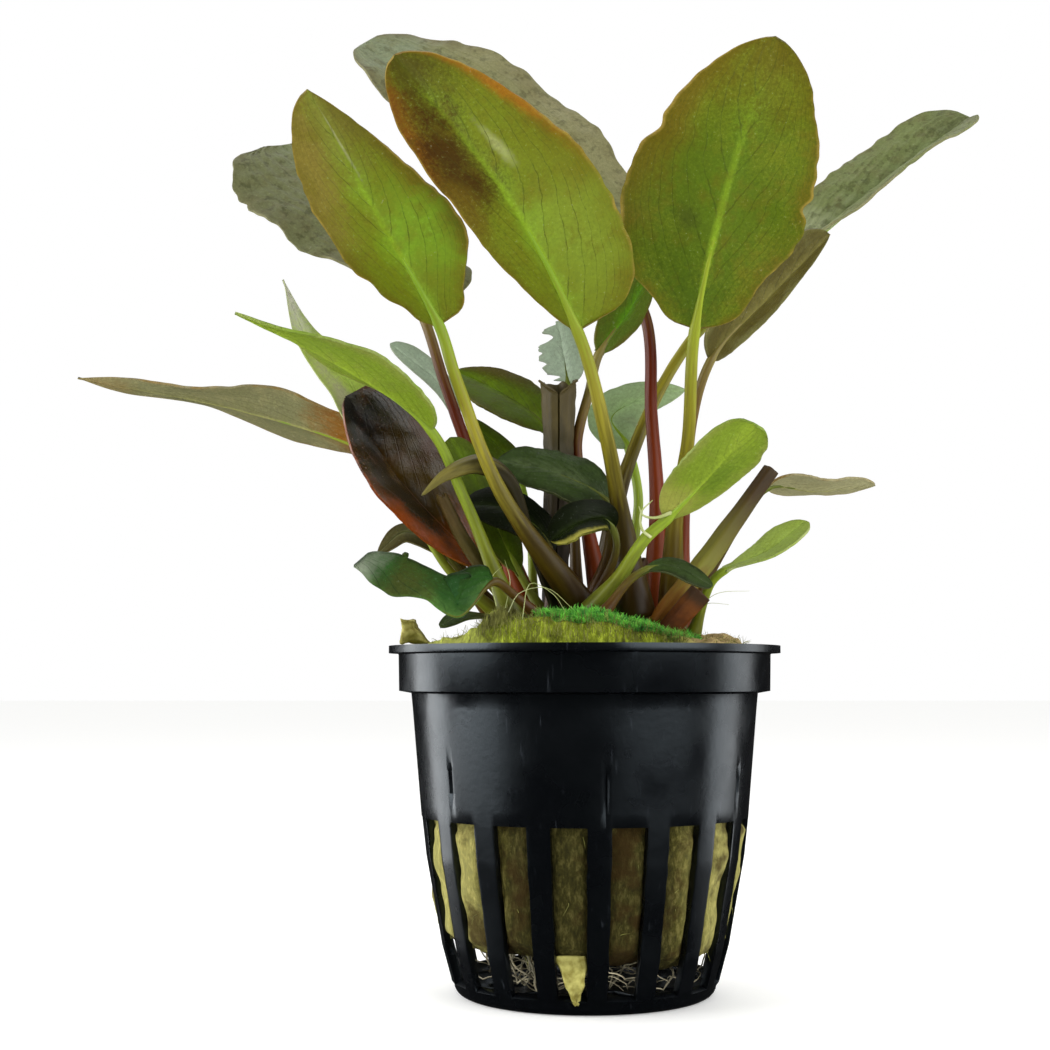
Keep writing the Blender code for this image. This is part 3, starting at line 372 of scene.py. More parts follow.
# A leaf's look: rib, blade and margin colour of its underside, the same of its
# upper side, the thin rim's colour, the veins' colour, and its roughness.
LOOKS = {
    "olive": ("#76921A #707C10 #6C640A", "#6C7A3C #5F6A3A #5A5428", "#A08A3C", "#3E4A08", 0.42),
    "grey": ("#9CA470 #82865E #706E46", "#949C74 #84865C #746E48", "#8A8862", "#3E3E22", 0.45),
    "bronze": ("#6A6428 #544C14 #6A6834", "#7A7C50 #5C5830 #4E4420", "#8A8450", "#2E280A", 0.42),
    "faded": ("#8A8A4C #8E8E5C #9A9464", "#7E8048 #918F70 #9A9472", "#8A7038", "#4A5020", 0.48),
    "brown": ("#6A4410 #4A3008 #6A3408", "#3E2A06 #2A1E02 #462604", "#7E3C0C", "#120C04", 0.12),
    "green": ("#8AA02C #7E9428 #88923C", "#96B03C #84A034 #7A9030", "#98A45C", "#5A7618", 0.4),
    "moss_green": ("#5A8A14 #586E0E #626012", "#6A8414 #586C10 #545810", "#7A7430", "#2E3C08", 0.4),
    "dark": ("#2E4A1A #24380E #1E2C0C", "#4C5C34 #36481E #28340F", "#5C6040", "#141E0A", 0.3),
    "slate": ("#B0BCA6 #A6B49E #9CA890", "#B8C8B2 #AABAA4 #A2AE9A", "#9CA48C", "#7A846C", 0.48),
    "pale": ("#A4BC74 #9EB482 #A2B488", "#AAC48E #A0B688 #98AC82", "#9AAA7E", "#86A070", 0.45),
    "pale_green": ("#A8C45E #9AB04A #94A648", "#A6BA56 #98AC46 #90A244", "#B0B880", "#6A8028", 0.42),
    "blue_green": ("#4A7030 #2E5620 #2A4418", "#466A3A #2C5428 #223C18", "#1E2A10", "#1A3012", 0.33),
    # The shade look is painted shade: near-black greens for leaves that lie in the shadow of others.
    "shade": ("#28331A #161C08 #101404", "#2A3614 #161E08 #101604", "#2C3014", "#080C02", 0.28),
}

# A stem's look: its colours from foot to collar, then along the blade's rib.
STEM_LOOKS = {
    "yellow": "#2E1E04 #443808 #827A20 #6E8A1E",
    "green": "#4E5210 #666C18 #788A24 #809A28",
    "olive": "#4A3208 #6A5C14 #7C7618 #80901E",
    "red": "#6E2E08 #702A04 #4C1602 #6E6430",
    "brown": "#4A2A0C #4A3210 #4C4014 #58621E",
    "orange": "#8A4210 #964E12 #7E3E0C #40280A",
}


def linear(hex_colour):
    """A colour written as sRGB hex, as linear red, green and blue."""
    parts = [int(hex_colour[place : place + 2], 16) / 255 for place in (1, 3, 5)]
    return tuple(c / 12.92 if c <= 0.04045 else ((c + 0.055) / 1.055) ** 2.4 for c in parts)


def tones_of(words):
    """The linear colours of a row of sRGB hex colours with spaces between them."""
    return [linear(word) for word in words.split()]


def size_property(name, description, default, largest):
    """A length that a user may change, in metres in the panel."""
    return bpy.props.FloatProperty(
        name=name, description=description, default=default * MM, min=0.0, max=largest * MM, precision=5,
        subtype="DISTANCE", unit="LENGTH",
    )


def count_property(name, description, default, fewest, most):
    """A whole number that a user may change in the panel."""
    return bpy.props.IntProperty(name=name, description=description, default=default, min=fewest, max=most)


def colour_property(name, description, hex_colour):
    """A colour that a user may change in the panel."""
    return bpy.props.FloatVectorProperty(
        name=name, description=description, default=linear(hex_colour), min=0.0, max=1.0, size=3,
        subtype="COLOR",
    )


POT_BOX = [[side / MM for side in corner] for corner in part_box("net_pot")]


class LagenandraSizes(bpy.types.PropertyGroup):
    """The sizes that shape the pot's surface and the plant's fine parts."""

    rim_radius: size_property(
        "Rim radius", "Outer radius of the pot's flange", 0.5 * (POT_BOX[1][0] - POT_BOX[0][0]), 60
    )
    pot_height: size_property("Pot height", "Height of the flange's top", POT_BOX[1][2], 90)
    blade_thickness: size_property("Blade thickness", "Thickness of a leaf's blade", 0.36, 1)
    fibre_length: size_property("Wool fibre", "Longest loose fibre of the rock wool", 1.8, 6)
    moss_length: size_property("Moss shoot", "Longest shoot of the moss", 1.7, 6)
    slots: count_property("Slots", "Slots round the pot's wall", 18, 6, 36)
    fibres: count_property("Wool fibres", "Loose fibres on the rock wool", 2600, 0, 6000)
    shoots: count_property("Moss shoots", "Shoots of moss", 5200, 0, 8000)
    roots: count_property("Roots", "Fine roots below the wool", 70, 0, 300)


class LagenandraColours(bpy.types.PropertyGroup):
    """The colours of the pot, its filling and the stage."""

    pot: colour_property("Pot", "The pot's black plastic", "#040507")
    scuff: colour_property("Scuffs", "Fine scratches and haze on the pot", "#34383E")
    wool: colour_property("Rock wool", "The wool where it is clean", "#6C6622")
    wool_light: colour_property("Pale wool", "The wool's palest fibres", "#B5A95A")
    wool_top: colour_property("Wool top", "The algae-green top of the wool", "#A2BC66")
    wool_stain: colour_property("Wool stain", "The brown stain of the wool", "#2E2006")
    moss: colour_property("Moss", "The moss shoots", "#9CF05E")
    moss_dark: colour_property("Deep moss", "The moss between its shoots", "#44983A")
    roots: colour_property("Roots", "The fine roots", "#D2C8A6")
    floor: colour_property("Floor", "The floor of the stage", "#F4F4F2")


def sizes():
    return bpy.context.scene.lagenandra_sizes


def colours():
    return bpy.context.scene.lagenandra_colours


def deselect():
    bpy.ops.object.select_all(action="DESELECT")


def activate(piece):
    """Selects one piece alone and makes it the active one."""
    deselect()
    piece.select_set(True)
    bpy.context.view_layer.objects.active = piece


def keep(piece, nodes):
    """Puts a finished piece in the frame in place of its CAD nodes."""
    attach(piece, BODY)
    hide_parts(*nodes)
    return piece


def apply_modifier(piece, kind, **settings):
    """Adds one modifier to a piece, sets it and applies it."""
    activate(piece)
    added = piece.modifiers.new(kind.lower(), kind)
    for name, value in settings.items():
        setattr(added, name, value)
    bpy.ops.object.modifier_apply(modifier=added.name)


def smooth(piece, degrees=180.0):
    """Shades a piece smooth, but for edges sharper than an angle in degrees."""
    activate(piece)
    if degrees < 180.0:
        bpy.ops.object.shade_smooth_by_angle(angle=math.radians(degrees))
    else:
        bpy.ops.object.shade_smooth()


def shaped_grid(name, across, along, place_at):
    """A grid with a UV map, moved to place_at(u, v) in millimetres; u and v run from 0 to 1."""
    deselect()
    bpy.ops.mesh.primitive_grid_add(x_subdivisions=across, y_subdivisions=along, size=1.0)
    piece = bpy.context.object
    piece.name = name
    piece.data.name = name
    flat = np.empty(3 * len(piece.data.vertices))
    piece.data.vertices.foreach_get("co", flat)
    places = place_at(flat[0::3] + 0.5, flat[1::3] + 0.5)
    piece.data.vertices.foreach_set("co", (np.asarray(places) * MM).ravel())
    piece.data.update()
    return piece


def close_seam(piece):
    """Merges a wrapped grid's seam and poles and turns its faces outwards."""
    activate(piece)
    bpy.ops.object.mode_set(mode="EDIT")
    bpy.ops.mesh.select_all(action="SELECT")
    bpy.ops.mesh.remove_doubles(threshold=SEAM_REACH * MM)
    bpy.ops.mesh.normals_make_consistent(inside=False)
    bpy.ops.object.mode_set(mode="OBJECT")


def joined(pieces):
    """Joins pieces in the first one's mesh."""
    deselect()
    for piece in pieces:
        piece.select_set(True)
    bpy.context.view_layer.objects.active = pieces[0]
    bpy.ops.object.join()
    return pieces[0]


def noise_at(places, size, seed=0.0):
    """Smooth noise from about -1 to 1 at places in millimetres; size is its grain's width."""
    shift = Vector((seed, 1.7 * seed, 0.3 * seed))
    return np.array([noise.noise(Vector(place) / size + shift) for place in places])


def columns(*values):
    """Points from their X, Y and Z, each an array or one number for all."""
    return np.stack(np.broadcast_arrays(*values), axis=-1)


def unit(vectors):
    """The vectors at a length of one."""
    return vectors / np.maximum(np.linalg.norm(vectors, axis=-1, keepdims=True), 1e-9)


def along_stations(shares, stations, values):
    """Values given at stations, read at shares; the values may be vectors."""
    values = np.asarray(values, float)
    if values.ndim == 1:
        return np.interp(shares, stations, values)
    return columns(*(np.interp(shares, stations, column) for column in values.T))


def add_node(tree, kind, settings=None, links=None, ramp=None):
    """Adds a shader node with its settings, links and colour ramp; a node stands for its first output."""
    made = tree.nodes.new("ShaderNode" + kind)
    for name, value in (settings or {}).items():
        if isinstance(name, str) and name in made.bl_rna.properties:
            setattr(made, name, value)
        elif isinstance(value, tuple) and len(value) == 3 and made.inputs[name].type == "RGBA":
            made.inputs[name].default_value = (*value, 1.0)
        else:
            made.inputs[name].default_value = value
    for name, source in (links or {}).items():
        socket = source.outputs[0] if isinstance(source, bpy.types.Node) else source
        tree.links.new(socket, made.inputs[name])
    if ramp:
        elements = made.color_ramp.elements
        while len(elements) < len(ramp):
            elements.new(1.0)
        for element, (position, colour) in zip(elements, ramp):
            element.position = position
            element.color = (*colour, 1.0)
    return made


# Sockets of the Mix node when it mixes colours. Where numbers name the sockets of a
# MapRange node, 1 to 4 are the range that goes in and the range that comes out.
SHARE = 0
FIRST = 6
SECOND = 7
MIXED = 2


def new_material(name):
    """A material with its shader tree emptied, and its output node."""
    made = bpy.data.materials.new(name)
    made.use_nodes = True
    made.node_tree.nodes.clear()
    output = made.node_tree.nodes.new("ShaderNodeOutputMaterial")
    return made, made.node_tree, output


def pot_plastic():
    """Injection-moulded polypropylene: black, satin, with fine scuffs and a faint orange-peel."""
    made, tree, output = new_material("moulded_black_polypropylene")
    add = partial(add_node, tree)
    places = add("TexCoord").outputs["Object"]
    drawn = add("Mapping", {"Scale": (1 / (0.5 * MM), 1 / (0.5 * MM), 1 / (5 * MM))}, {0: places})
    haze = add("TexNoise", {"Scale": 1 / (9 * MM), "Detail": 3.0, "Roughness": 0.6}, {0: places})
    peel = add("TexNoise", {"Scale": 1 / (0.7 * MM), "Detail": 2.0}, {0: places})
    scratch = add("TexNoise", {"Scale": 1.0, "Detail": 4.0}, {0: drawn})
    fine = add("MapRange", {1: 0.66, 2: 0.8, 3: 0.0, 4: 0.5}, {0: scratch})
    tones = {FIRST: tuple(colours().pot), SECOND: tuple(colours().scuff)}
    colour = add("Mix", {"data_type": "RGBA", **tones}, {SHARE: fine}).outputs[MIXED]
    rough = add("MapRange", {1: 0.3, 2: 0.7, 3: 0.2, 4: 0.36}, {0: haze})
    bump = add("Bump", {"Strength": 0.25, "Distance": 0.05 * MM}, {"Height": peel})
    shader = add(
        "BsdfPrincipled", {"IOR": 1.5, "Specular Tint": (0.76, 0.9, 1.0)},
        {"Base Color": colour, "Roughness": rough, "Normal": bump},
    )
    tree.links.new(shader.outputs[0], output.inputs[0])
    return made


def wool_material():
    """Spun rock wool: algae-green on top, straw and olive in the pot, stained brown by roots. Painted
    shade darkens it in the middle of the pot's front and back, and painted light brightens its top and its
    sides.
    """
    made, tree, output = new_material("spun_rock_wool")
    add = partial(add_node, tree)
    places = add("TexCoord").outputs["Object"]
    drawn = add("Mapping", {"Scale": (1 / (0.6 * MM), 1 / (0.6 * MM), 1 / (1.6 * MM))}, {0: places})
    strand = add("TexNoise", {"Scale": 1.0, "Detail": 5.0, "Roughness": 0.75}, {0: drawn})
    stain = add("TexNoise", {"Scale": 1 / (7 * MM), "Detail": 5.0, "Roughness": 0.6}, {0: places})
    split = add("SeparateXYZ", links={0: places})
    aside = add("Math", {"operation": "ABSOLUTE"}, {0: split})
    above = add("MapRange", {1: 42 * MM, 2: 48 * MM}, {0: split.outputs[2]})
    # Painted shade: the wool darkens towards the middle of the pot's front and back, where it sits deep in
    # the slots. Its sides get a little painted light.
    painted_shade_middle = add("MapRange", {1: 10 * MM, 2: 17 * MM, 3: 0.22, 4: 1.1}, {0: aside})
    # Painted light: the wool turns paler towards the pot's sides.
    painted_light_sides = add("MapRange", {1: 11 * MM, 2: 17 * MM, 4: 0.42}, {0: aside})
    beside = add("MapRange", {1: 10 * MM, 2: 15 * MM, 4: 0.9}, {0: split})
    soaked = add("MapRange", {"interpolation_type": "SMOOTHSTEP", 1: 0.46, 2: 0.62, 4: 0.85}, {0: stain})
    low = add("Math", {"operation": "MULTIPLY_ADD", 1: -0.8, 2: 1.0}, {0: above})
    clean, pale = tuple(colours().wool), tuple(colours().wool_light)
    ramp = ((0.3, tuple(0.35 * c for c in clean)), (0.5, clean), (0.74, pale))
    colour = add("ValToRGB", links={0: strand}, ramp=ramp)
    green = {"data_type": "RGBA", "blend_type": "OVERLAY", SECOND: tuple(colours().wool_top)}
    colour = add("Mix", green, {SHARE: above, FIRST: colour}).outputs[MIXED]
    # Painted light and shade: the wool's value is raised on its top, and set by the painted shade above
    # inside the pot.
    painted_light_and_shade = add("Mix", {"data_type": "FLOAT", 3: 2.2}, {0: above, 2: painted_shade_middle})
    colour = add("HueSaturation", {"Saturation": 0.96}, {"Color": colour, "Value": painted_light_and_shade})
    for tone, share, limit in (
        # Painted light: the pale colour that the wool takes towards the pot's sides.
        (linear("#A8A468"), painted_light_sides, None),
        (linear("#A89066"), above, beside),
        (tuple(colours().wool_stain), soaked, low),
    ):
        if limit:
            share = add("Math", {"operation": "MULTIPLY"}, {0: share, 1: limit})
        colour = add("Mix", {"data_type": "RGBA", SECOND: tone}, {SHARE: share, FIRST: colour})
        colour = colour.outputs[MIXED]
    bump = add("Bump", {"Strength": 0.8, "Distance": 0.35 * MM}, {"Height": strand})
    shader = add(
        "BsdfPrincipled", {"Roughness": 0.95, "Specular IOR Level": 0.15},
        {"Base Color": colour, "Normal": bump},
    )
    tree.links.new(shader.outputs[0], output.inputs[0])
    return made


def fibre_material(name, dark, light, translucency, grain=1.5):
    """Thin plant or mineral fibres: a matt colour that varies from strand to strand."""
    made, tree, output = new_material(name)
    add = partial(add_node, tree)
    places = add("TexCoord").outputs["Object"]
    vary = add("TexNoise", {"Scale": 1 / (grain * MM), "Detail": 2.0}, {0: places})
    colour = add("ValToRGB", links={0: vary}, ramp=((0.35, dark), (0.65, light)))
    shader = add("BsdfPrincipled", {"Roughness": 0.7}, {"Base Color": colour})
    glow = add("BsdfTranslucent", links={"Color": colour})
    both = add("MixShader", {0: translucency}, {1: shader, 2: glow})
    tree.links.new(both.outputs[0], output.inputs[0])
    return made


def leaf_material(name, tones, rim, vein, roughness, patches, spots):
    """Leaf skin: a waxy cuticle over translucent green, with arching veins and a fine grain."""
    made, tree, output = new_material(name)
    add = partial(add_node, tree)
    is_wet = roughness < 0.2
    places = add("TexCoord").outputs["Object"]
    uv = add("UVMap")
    split = add("SeparateXYZ", links={0: uv})
    along = split.outputs[1]
    signed = add("Math", {"operation": "MULTIPLY_ADD", 1: 2.0, 2: -1.0}, {0: split})
    side = add("Math", {"operation": "ABSOLUTE"}, {0: signed})
    blotch, grain, warm = (
        add("TexNoise", {"Scale": 1 / (size * MM), "Detail": detail, "Roughness": rough}, {0: places})
        for size, detail, rough in ((6, 5.0, 0.65), (0.42, 4.0, 0.75), (3.2, 3.0, 0.7))
    )
    # Veins leave the midrib one after another and arch towards the tip beside the margin.
    wave = add("Math", {"operation": "MULTIPLY_ADD", 1: -VEIN_EDGE, 2: 1.0}, {0: side})
    wave = add("Math", {"operation": "LOGARITHM", 1: math.e}, {0: wave})
    wave = add("Math", {"operation": "MULTIPLY_ADD", 1: VEIN_REACH}, {0: wave, 2: along})
    wave = add("Math", {"operation": "MULTIPLY_ADD", 1: 0.1}, {0: blotch, 2: wave})
    wave = add("Math", {"operation": "MULTIPLY", 1: VEINS}, {0: wave})
    wave = add("Math", {"operation": "PINGPONG", 1: 0.5}, {0: wave})
    line = add("MapRange", {"interpolation_type": "SMOOTHSTEP", 2: 0.06, 3: 1.0, 4: 0.0}, {0: wave})
    broken, rib, fading, edge_line, worn, ochre, fleck, shade, gloss = (
        add("MapRange", dict(enumerate(limits, 1)), {0: source})
        for source, *limits in (
            (warm, 0.35, 0.6, 0.15, 0.25 if spots else 0.75),
            (side, 0.012, 0.05, 0.8, 0.0),
            (along, 0.3, 0.9, 1.0, 0.0),
            (side, 0.955, 0.985, 0.0, 0.85),
            (blotch, 0.42, 0.58, 0.15, 1.0),
            (warm, 0.5, 0.7, 0.0, 0.45),
            (grain, 0.63, 0.72, 0.0, 0.35),
            (grain, 0.3, 0.7, 0.78, 1.18),
            (blotch, 0.3, 0.7, roughness - 0.06, roughness + 0.12),
        )
    )
    layers = []
    for middle_across, middle_along, reach_across, reach_along, tone, strength in patches:
        where = {
            "Location": (-middle_across / reach_across, -middle_along / reach_along, 0.0),
            "Scale": (1 / reach_across, 1 / reach_along, 1.0),
        }
        away = add("VectorMath", {"operation": "LENGTH"}, {0: add("Mapping", where, {0: uv})})
        ragged = add("Math", {"operation": "MULTIPLY_ADD", 1: 1.2}, {0: blotch, 2: away.outputs[1]})
        ragged = add("Math", {"operation": "MULTIPLY_ADD", 1: 0.8}, {0: grain, 2: ragged})
        limits = {1: 1.2, 2: 2.0, 3: strength, 4: 0.0}
        share = add("MapRange", {"interpolation_type": "SMOOTHSTEP", **limits}, {0: ragged})
        layers.append((linear(tone), share, None))
    layers.append((vein, line, broken))
    if spots:
        pore = add("TexNoise", {"Scale": 1 / (1.5 * MM), "Detail": 2.0, "Roughness": 0.6}, {0: places})
        layers.append((vein, add("MapRange", {1: 0.54, 2: 0.64, 4: spots}, {0: pore}), None))
    layers += [
        (tuple(min(1.0, 1.35 * c) for c in tones[0]), rib, fading),
        (rim, edge_line, worn),
        (tones[2], ochre, None),
        (tuple(0.45 * c + 0.2 for c in tones[1]), fleck, None),
    ]
    spread = add("Math", {"operation": "MULTIPLY_ADD", 1: 1.1, 2: -0.55}, {0: blotch})
    edge = add("Math", {"operation": "ADD"}, {0: side, 1: spread})
    ramp = ((0.0, tones[0]), (0.3, tones[1]), (0.7, tones[1]), (1.0, tones[2]))
    colour = add("ValToRGB", links={0: edge}, ramp=ramp)
    for tone, share, limit in layers:
        if limit:
            share = add("Math", {"operation": "MULTIPLY"}, {0: share, 1: limit})
        colour = add("Mix", {"data_type": "RGBA", SECOND: tone}, {SHARE: share, FIRST: colour})
        colour = colour.outputs[MIXED]
    colour = add("HueSaturation", links={"Color": colour, "Value": shade})
    relief = add("Math", {"operation": "MULTIPLY_ADD", 1: -0.4}, {0: line, 2: grain})
    size, detail, height = (3.4, 0.6, 9.0) if is_wet else (3.2, 3.0, 1.0)
    swell = add("TexNoise", {"Scale": 1 / (size * MM), "Detail": detail}, {0: places})
    swollen = add("Math", {"operation": "MULTIPLY_ADD", 1: height}, {0: swell, 2: relief})
    bump = add("Bump", {"Strength": 0.6, "Distance": 0.15 * MM}, {"Height": swollen})
    shader = add(
        "BsdfPrincipled", {"IOR": 1.45, "Specular IOR Level": 0.8 if is_wet else 0.2},
        {"Base Color": colour, "Roughness": gloss, "Normal": bump},
    )
    lit = add("HueSaturation", {"Saturation": 1.1, "Value": 1.2}, {"Color": colour})
    glow = add("BsdfTranslucent", links={"Color": lit})
    both = add("MixShader", {0: 0.3}, {1: shader, 2: glow})
    tree.links.new(both.outputs[0], output.inputs[0])
    return made


def stem_material(name, tones, gloss=0.36, turns=(0.05, 0.22, 0.44, 0.7)):
    """A petiole's skin: smooth and waxy, its colour changing from foot to blade in fine streaks."""
    made, tree, output = new_material(name)
    add = partial(add_node, tree)
    uv = add("UVMap")
    along = add("SeparateXYZ", links={0: uv}).outputs[1]
    drawn = add("Mapping", {"Scale": (9.0, 7.0, 1.0)}, {0: uv})
    streak = add("TexNoise", {"Scale": 1.0, "Detail": 4.0, "Roughness": 0.6}, {0: drawn})
    wander = add("Math", {"operation": "MULTIPLY_ADD", 1: 0.3, 2: -0.15}, {0: streak})
    reach = add("Math", {"operation": "ADD"}, {0: along, 1: wander})
    base = add("ValToRGB", links={0: reach}, ramp=tuple(zip(turns, tones)))
    shade = add("MapRange", {1: 0.3, 2: 0.7, 3: 0.8, 4: 1.15}, {0: streak})
    colour = add("HueSaturation", links={"Color": base, "Value": shade})
    bump = add("Bump", {"Strength": 0.3, "Distance": 0.08 * MM}, {"Height": streak})
    shader = add(
        "BsdfPrincipled", {"IOR": 1.45, "Roughness": gloss, "Specular IOR Level": 0.24},
        {"Base Color": colour, "Normal": bump},
    )
    tree.links.new(shader.outputs[0], output.inputs[0])
    return made


def hill(x, y, centre, reach, height):
    """A smooth rounded rise, reach being its half width along X and along Y."""
    far = ((x - centre[0]) / reach[0]) ** 2 + ((y - centre[1]) / reach[1]) ** 2
    return height * np.exp(-far)


def wool_top(x, y):
    """Height of the rock wool's lumpy top above the point x, y."""
    rises = sum(hill(x, y, *rise) for rise in WOOL_HILLS)
    return WOOL_SIDE + rises + WOOL_WAVE * np.sin(0.9 * x + 0.6 * y)


def moss_top(x, y):
    """Height of the moss above the point x, y; it is thickest in its middle."""
    far = np.hypot(x - MOSS_CENTRE[0], y - MOSS_CENTRE[1]) / MOSS_RADIUS
    rise = MOSS_RISE * np.sqrt(np.maximum(0.0, 1.0 - far**2))
    return wool_top(x, y) + 2 * GAP + MOSS_EDGE + rise


def ground_at(x, y):
    """Height of what a stem at x, y grows out of: the moss, or the bare wool beside it."""
    if math.dist((x, y), MOSS_CENTRE) < MOSS_RADIUS:
        return float(moss_top(x, y))
    return float(wool_top(x, y))


def rooted(path, radius):
    """A path's points; its first, given as x and y, stands on the moss or the wool."""
    (x, y), *rest = path
    ground = ground_at(x, y)
    ahead = Vector(rest[0])
    lean = math.hypot(ahead.x - x, ahead.y - y) / (ahead - Vector((x, y, ground))).length
    return [Vector((x, y, ground + FOOT_GAP + lean * radius)), *map(Vector, rest)]


def path_slopes(points):
    """The direction of travel at each point of a path, per millimetre."""
    slopes = []
    for index, point in enumerate(points):
        before = points[max(index - 1, 0)]
        after = points[min(index + 1, len(points) - 1)]
        travelled = (point - before).length + (after - point).length
        slopes.append((after - before) / travelled)
    return slopes


def path_between(points, first, last, share):
    """(place, direction) at a share of the way from point first to point last."""
    slopes = path_slopes(points)
    spans = [(b - a).length for a, b in zip(points, points[1:])]
    along = share * sum(spans[first:last])
    index = first
    while index < last - 1 and along > spans[index]:
        along -= spans[index]
        index += 1
    span = spans[index]
    t = min(max(along / span, 0.0), 1.0)
    a, b = points[index], points[index + 1]
    m, n = slopes[index] * span, slopes[index + 1] * span
    place = (
        (
            2 * t**3 - 3 * t**2 + 1
        ) * a + (t**3 - 2 * t**2 + t) * m + (3 * t**2 - 2 * t**3) * b + (t**3 - t**2) * n
    )
    speed = ((6 * t**2 - 6 * t) * (a - b) + (3 * t**2 - 4 * t + 1) * m + (3 * t**2 - 2 * t) * n)
    return place, speed.normalized()


def outline(share, margin):
    """Half width along a blade of a (width, base, tip) margin."""
    width, base, tip = margin
    widest = base / (base + tip)
    peak = widest**base * (1 - widest) ** tip
    return width * share**base * (1 - share) ** tip / peak


def path_of(leaf):
    """All of a leaf's points, from its foot to its tip."""
    radius = leaf["stem_radius"][0] if leaf["stem"] else BLADE_COLLAR
    return rooted((*leaf["stem"], *leaf["blade"]), radius)


def blade_frame(leaf):
    """(places, rights, ups) at even stations along a blade's middle."""
    points = path_of(leaf)
    first = 0 if leaf.get("stalk") else len(leaf["stem"])
    places, rights, ups = [], [], []
    for step in range(STATIONS):
        t = step / (STATIONS - 1)
        place, along = path_between(points, first, len(points) - 1, t)
        facing = Vector(leaf["facing"][0]).lerp(Vector(leaf["facing"][-1]), t)
        right = along.cross(facing).normalized()
        places.append(place)
        rights.append(right)
        ups.append(right.cross(along))
    return np.array(places), np.array(rights), np.array(ups)


def vein_phase(share, side):
    """Counts the side veins passed at a share of the blade's length and of its half width."""
    return VEINS * (share + VEIN_REACH * np.log(1.0 - VEIN_EDGE * side))


def blade_places(leaf, seed, start):
    """The function that puts a leaf's blade in place; the blade starts at a share of its path."""
    places, rights, ups = blade_frame(leaf)
    stations = np.linspace(0.0, 1.0, STATIONS)
    stalk = leaf.get("stalk", 0.0)
    folds = leaf.get("fold", (0,))
    ripple_height, ripples = leaf.get("ripple", (0.0, 1.0))
    pucker = leaf.get("pucker", 0.06)
    torn = leaf.get("torn", 0.0)
    waist = leaf.get("waist", 0.0)
    bays = leaf.get("bays", ())

    def place_at(u, v):
        signed = 2 * u - 1
        side = np.abs(signed)
        t = start + (1 - start) * v
        share = np.clip((t - stalk) / (1 - stalk), 0.0, 1.0)
        width = np.where(signed > 0, outline(share, leaf["right"]), outline(share, leaf["left"]))
        least = (BLADE_COLLAR + (0.2 * BLADE_TIP - BLADE_COLLAR) * share) * (1 - start)
        width = np.maximum(width, least)
        span = columns(8.0 * t, np.sign(signed), seed)
        wavy = 0.045 + 0.12 * pucker
        width *= 1.0 + wavy * noise_at(span, 1.0, seed) + 0.6 * wavy * noise_at(3.1 * span, 1.0, seed)
        if torn:
            jag = np.abs(noise_at(1.1 * span, 1.0, seed + 5)) * (signed * torn > 0)
            width = np.maximum(width - abs(torn) * 2.4 * jag, 0.3)
        width = width * (1.0 - waist * np.exp(-(((share - WAIST_AT) / WAIST_REACH) ** 2)))
        for turn, centre, reach, depth in bays:
            bay = depth * np.exp(-(((share - centre) / reach) ** 2))
            width = width * (1.0 - bay * (signed * turn > 0))
        middle = along_stations(t, stations, places)
        right = unit(along_stations(t, stations, rights))
        up = unit(along_stations(t, stations, ups))
        bend = np.radians(np.where(signed > 0, folds[0], folds[-1]))
        reach = width * side
        spread = right * (np.sign(signed) * reach * np.cos(bend))[:, None]
        lift = reach * np.sin(bend)
        lift += ripple_height * signed * side * np.sin(math.tau * ripples * t)
        lift += CUPPING * width * np.sin(math.pi * side)
        flat = middle + spread
        lift += BUCKLE * side**2 * noise_at(flat, BUCKLE_GRAIN, seed) * np.minimum(1.0, width / 4.0)
        quilt = 0.5 - 0.5 * np.cos(math.tau * vein_phase(share, side))
        fade = np.clip(width * (1.0 - side) / 3.0, 0.0, 1.0)
        lift += pucker * fade * (0.7 * quilt + 0.5 * noise_at(flat, 1.6, seed + 2))
        lift += 0.8 * pucker * noise_at(flat, 2.2, seed + 3) * np.minimum(1.0, width / 3.0)
        lift -= MIDRIB_DEPTH * np.exp(-((side / MIDRIB_REACH) ** 2)) * (1 - share)
        return flat + up * lift[:, None]

    return place_at


def tube_places(points, last, radii, along_share, grooves=0.04, seed=0.0, offset=None):
    """The function that wraps a grid round a path, seam at the back; radii are at even stations."""
    middles, sides, fronts = [], [], []
    side = None
    for step in range(STATIONS):
        place, along = path_between(points, 0, last, along_share * step / (STATIONS - 1))
        if side is None:
            side = along.cross(Vector((0.0, 1.0, 0.0))).normalized()
        side = (side - along * side.dot(along)).normalized()
        middles.append(place)
        sides.append(side.copy())
        fronts.append(side.cross(along))
    if offset is not None:
        middles = np.array(middles) + offset
    stations = np.linspace(0.0, 1.0, STATIONS)
    evenly = np.linspace(0.0, 1.0, len(radii))

    def place_at(u, v):
        angle = math.tau * (u + 0.25)
        middle, across, front = (along_stations(v, stations, way) for way in (middles, sides, fronts))
        radius = np.interp(v, evenly, radii)
        closing = np.minimum(1.0, np.minimum(v, 1.0 - v) / 0.012)
        radius = radius * np.sqrt(np.maximum(0.0, 1.0 - (1.0 - closing) ** 2))
        ridge = 1.0 + grooves * np.cos(5 * angle) * (radius > 0.3)
        way = across * np.cos(angle)[:, None] + front * np.sin(angle)[:, None]
        rough = noise_at(middle + way * radius[:, None], 3.0, seed)
        return middle + way * (radius * ridge * (1.0 + 0.04 * rough))[:, None]

    return place_at


def tube_piece(name, around, along, place_at, paint):
    """A grid wrapped round into a closed form, smooth and in one paint."""
    piece = shaped_grid(name, around, along, place_at)
    close_seam(piece)
    smooth(piece)
    piece.data.materials.append(paint)
    return piece


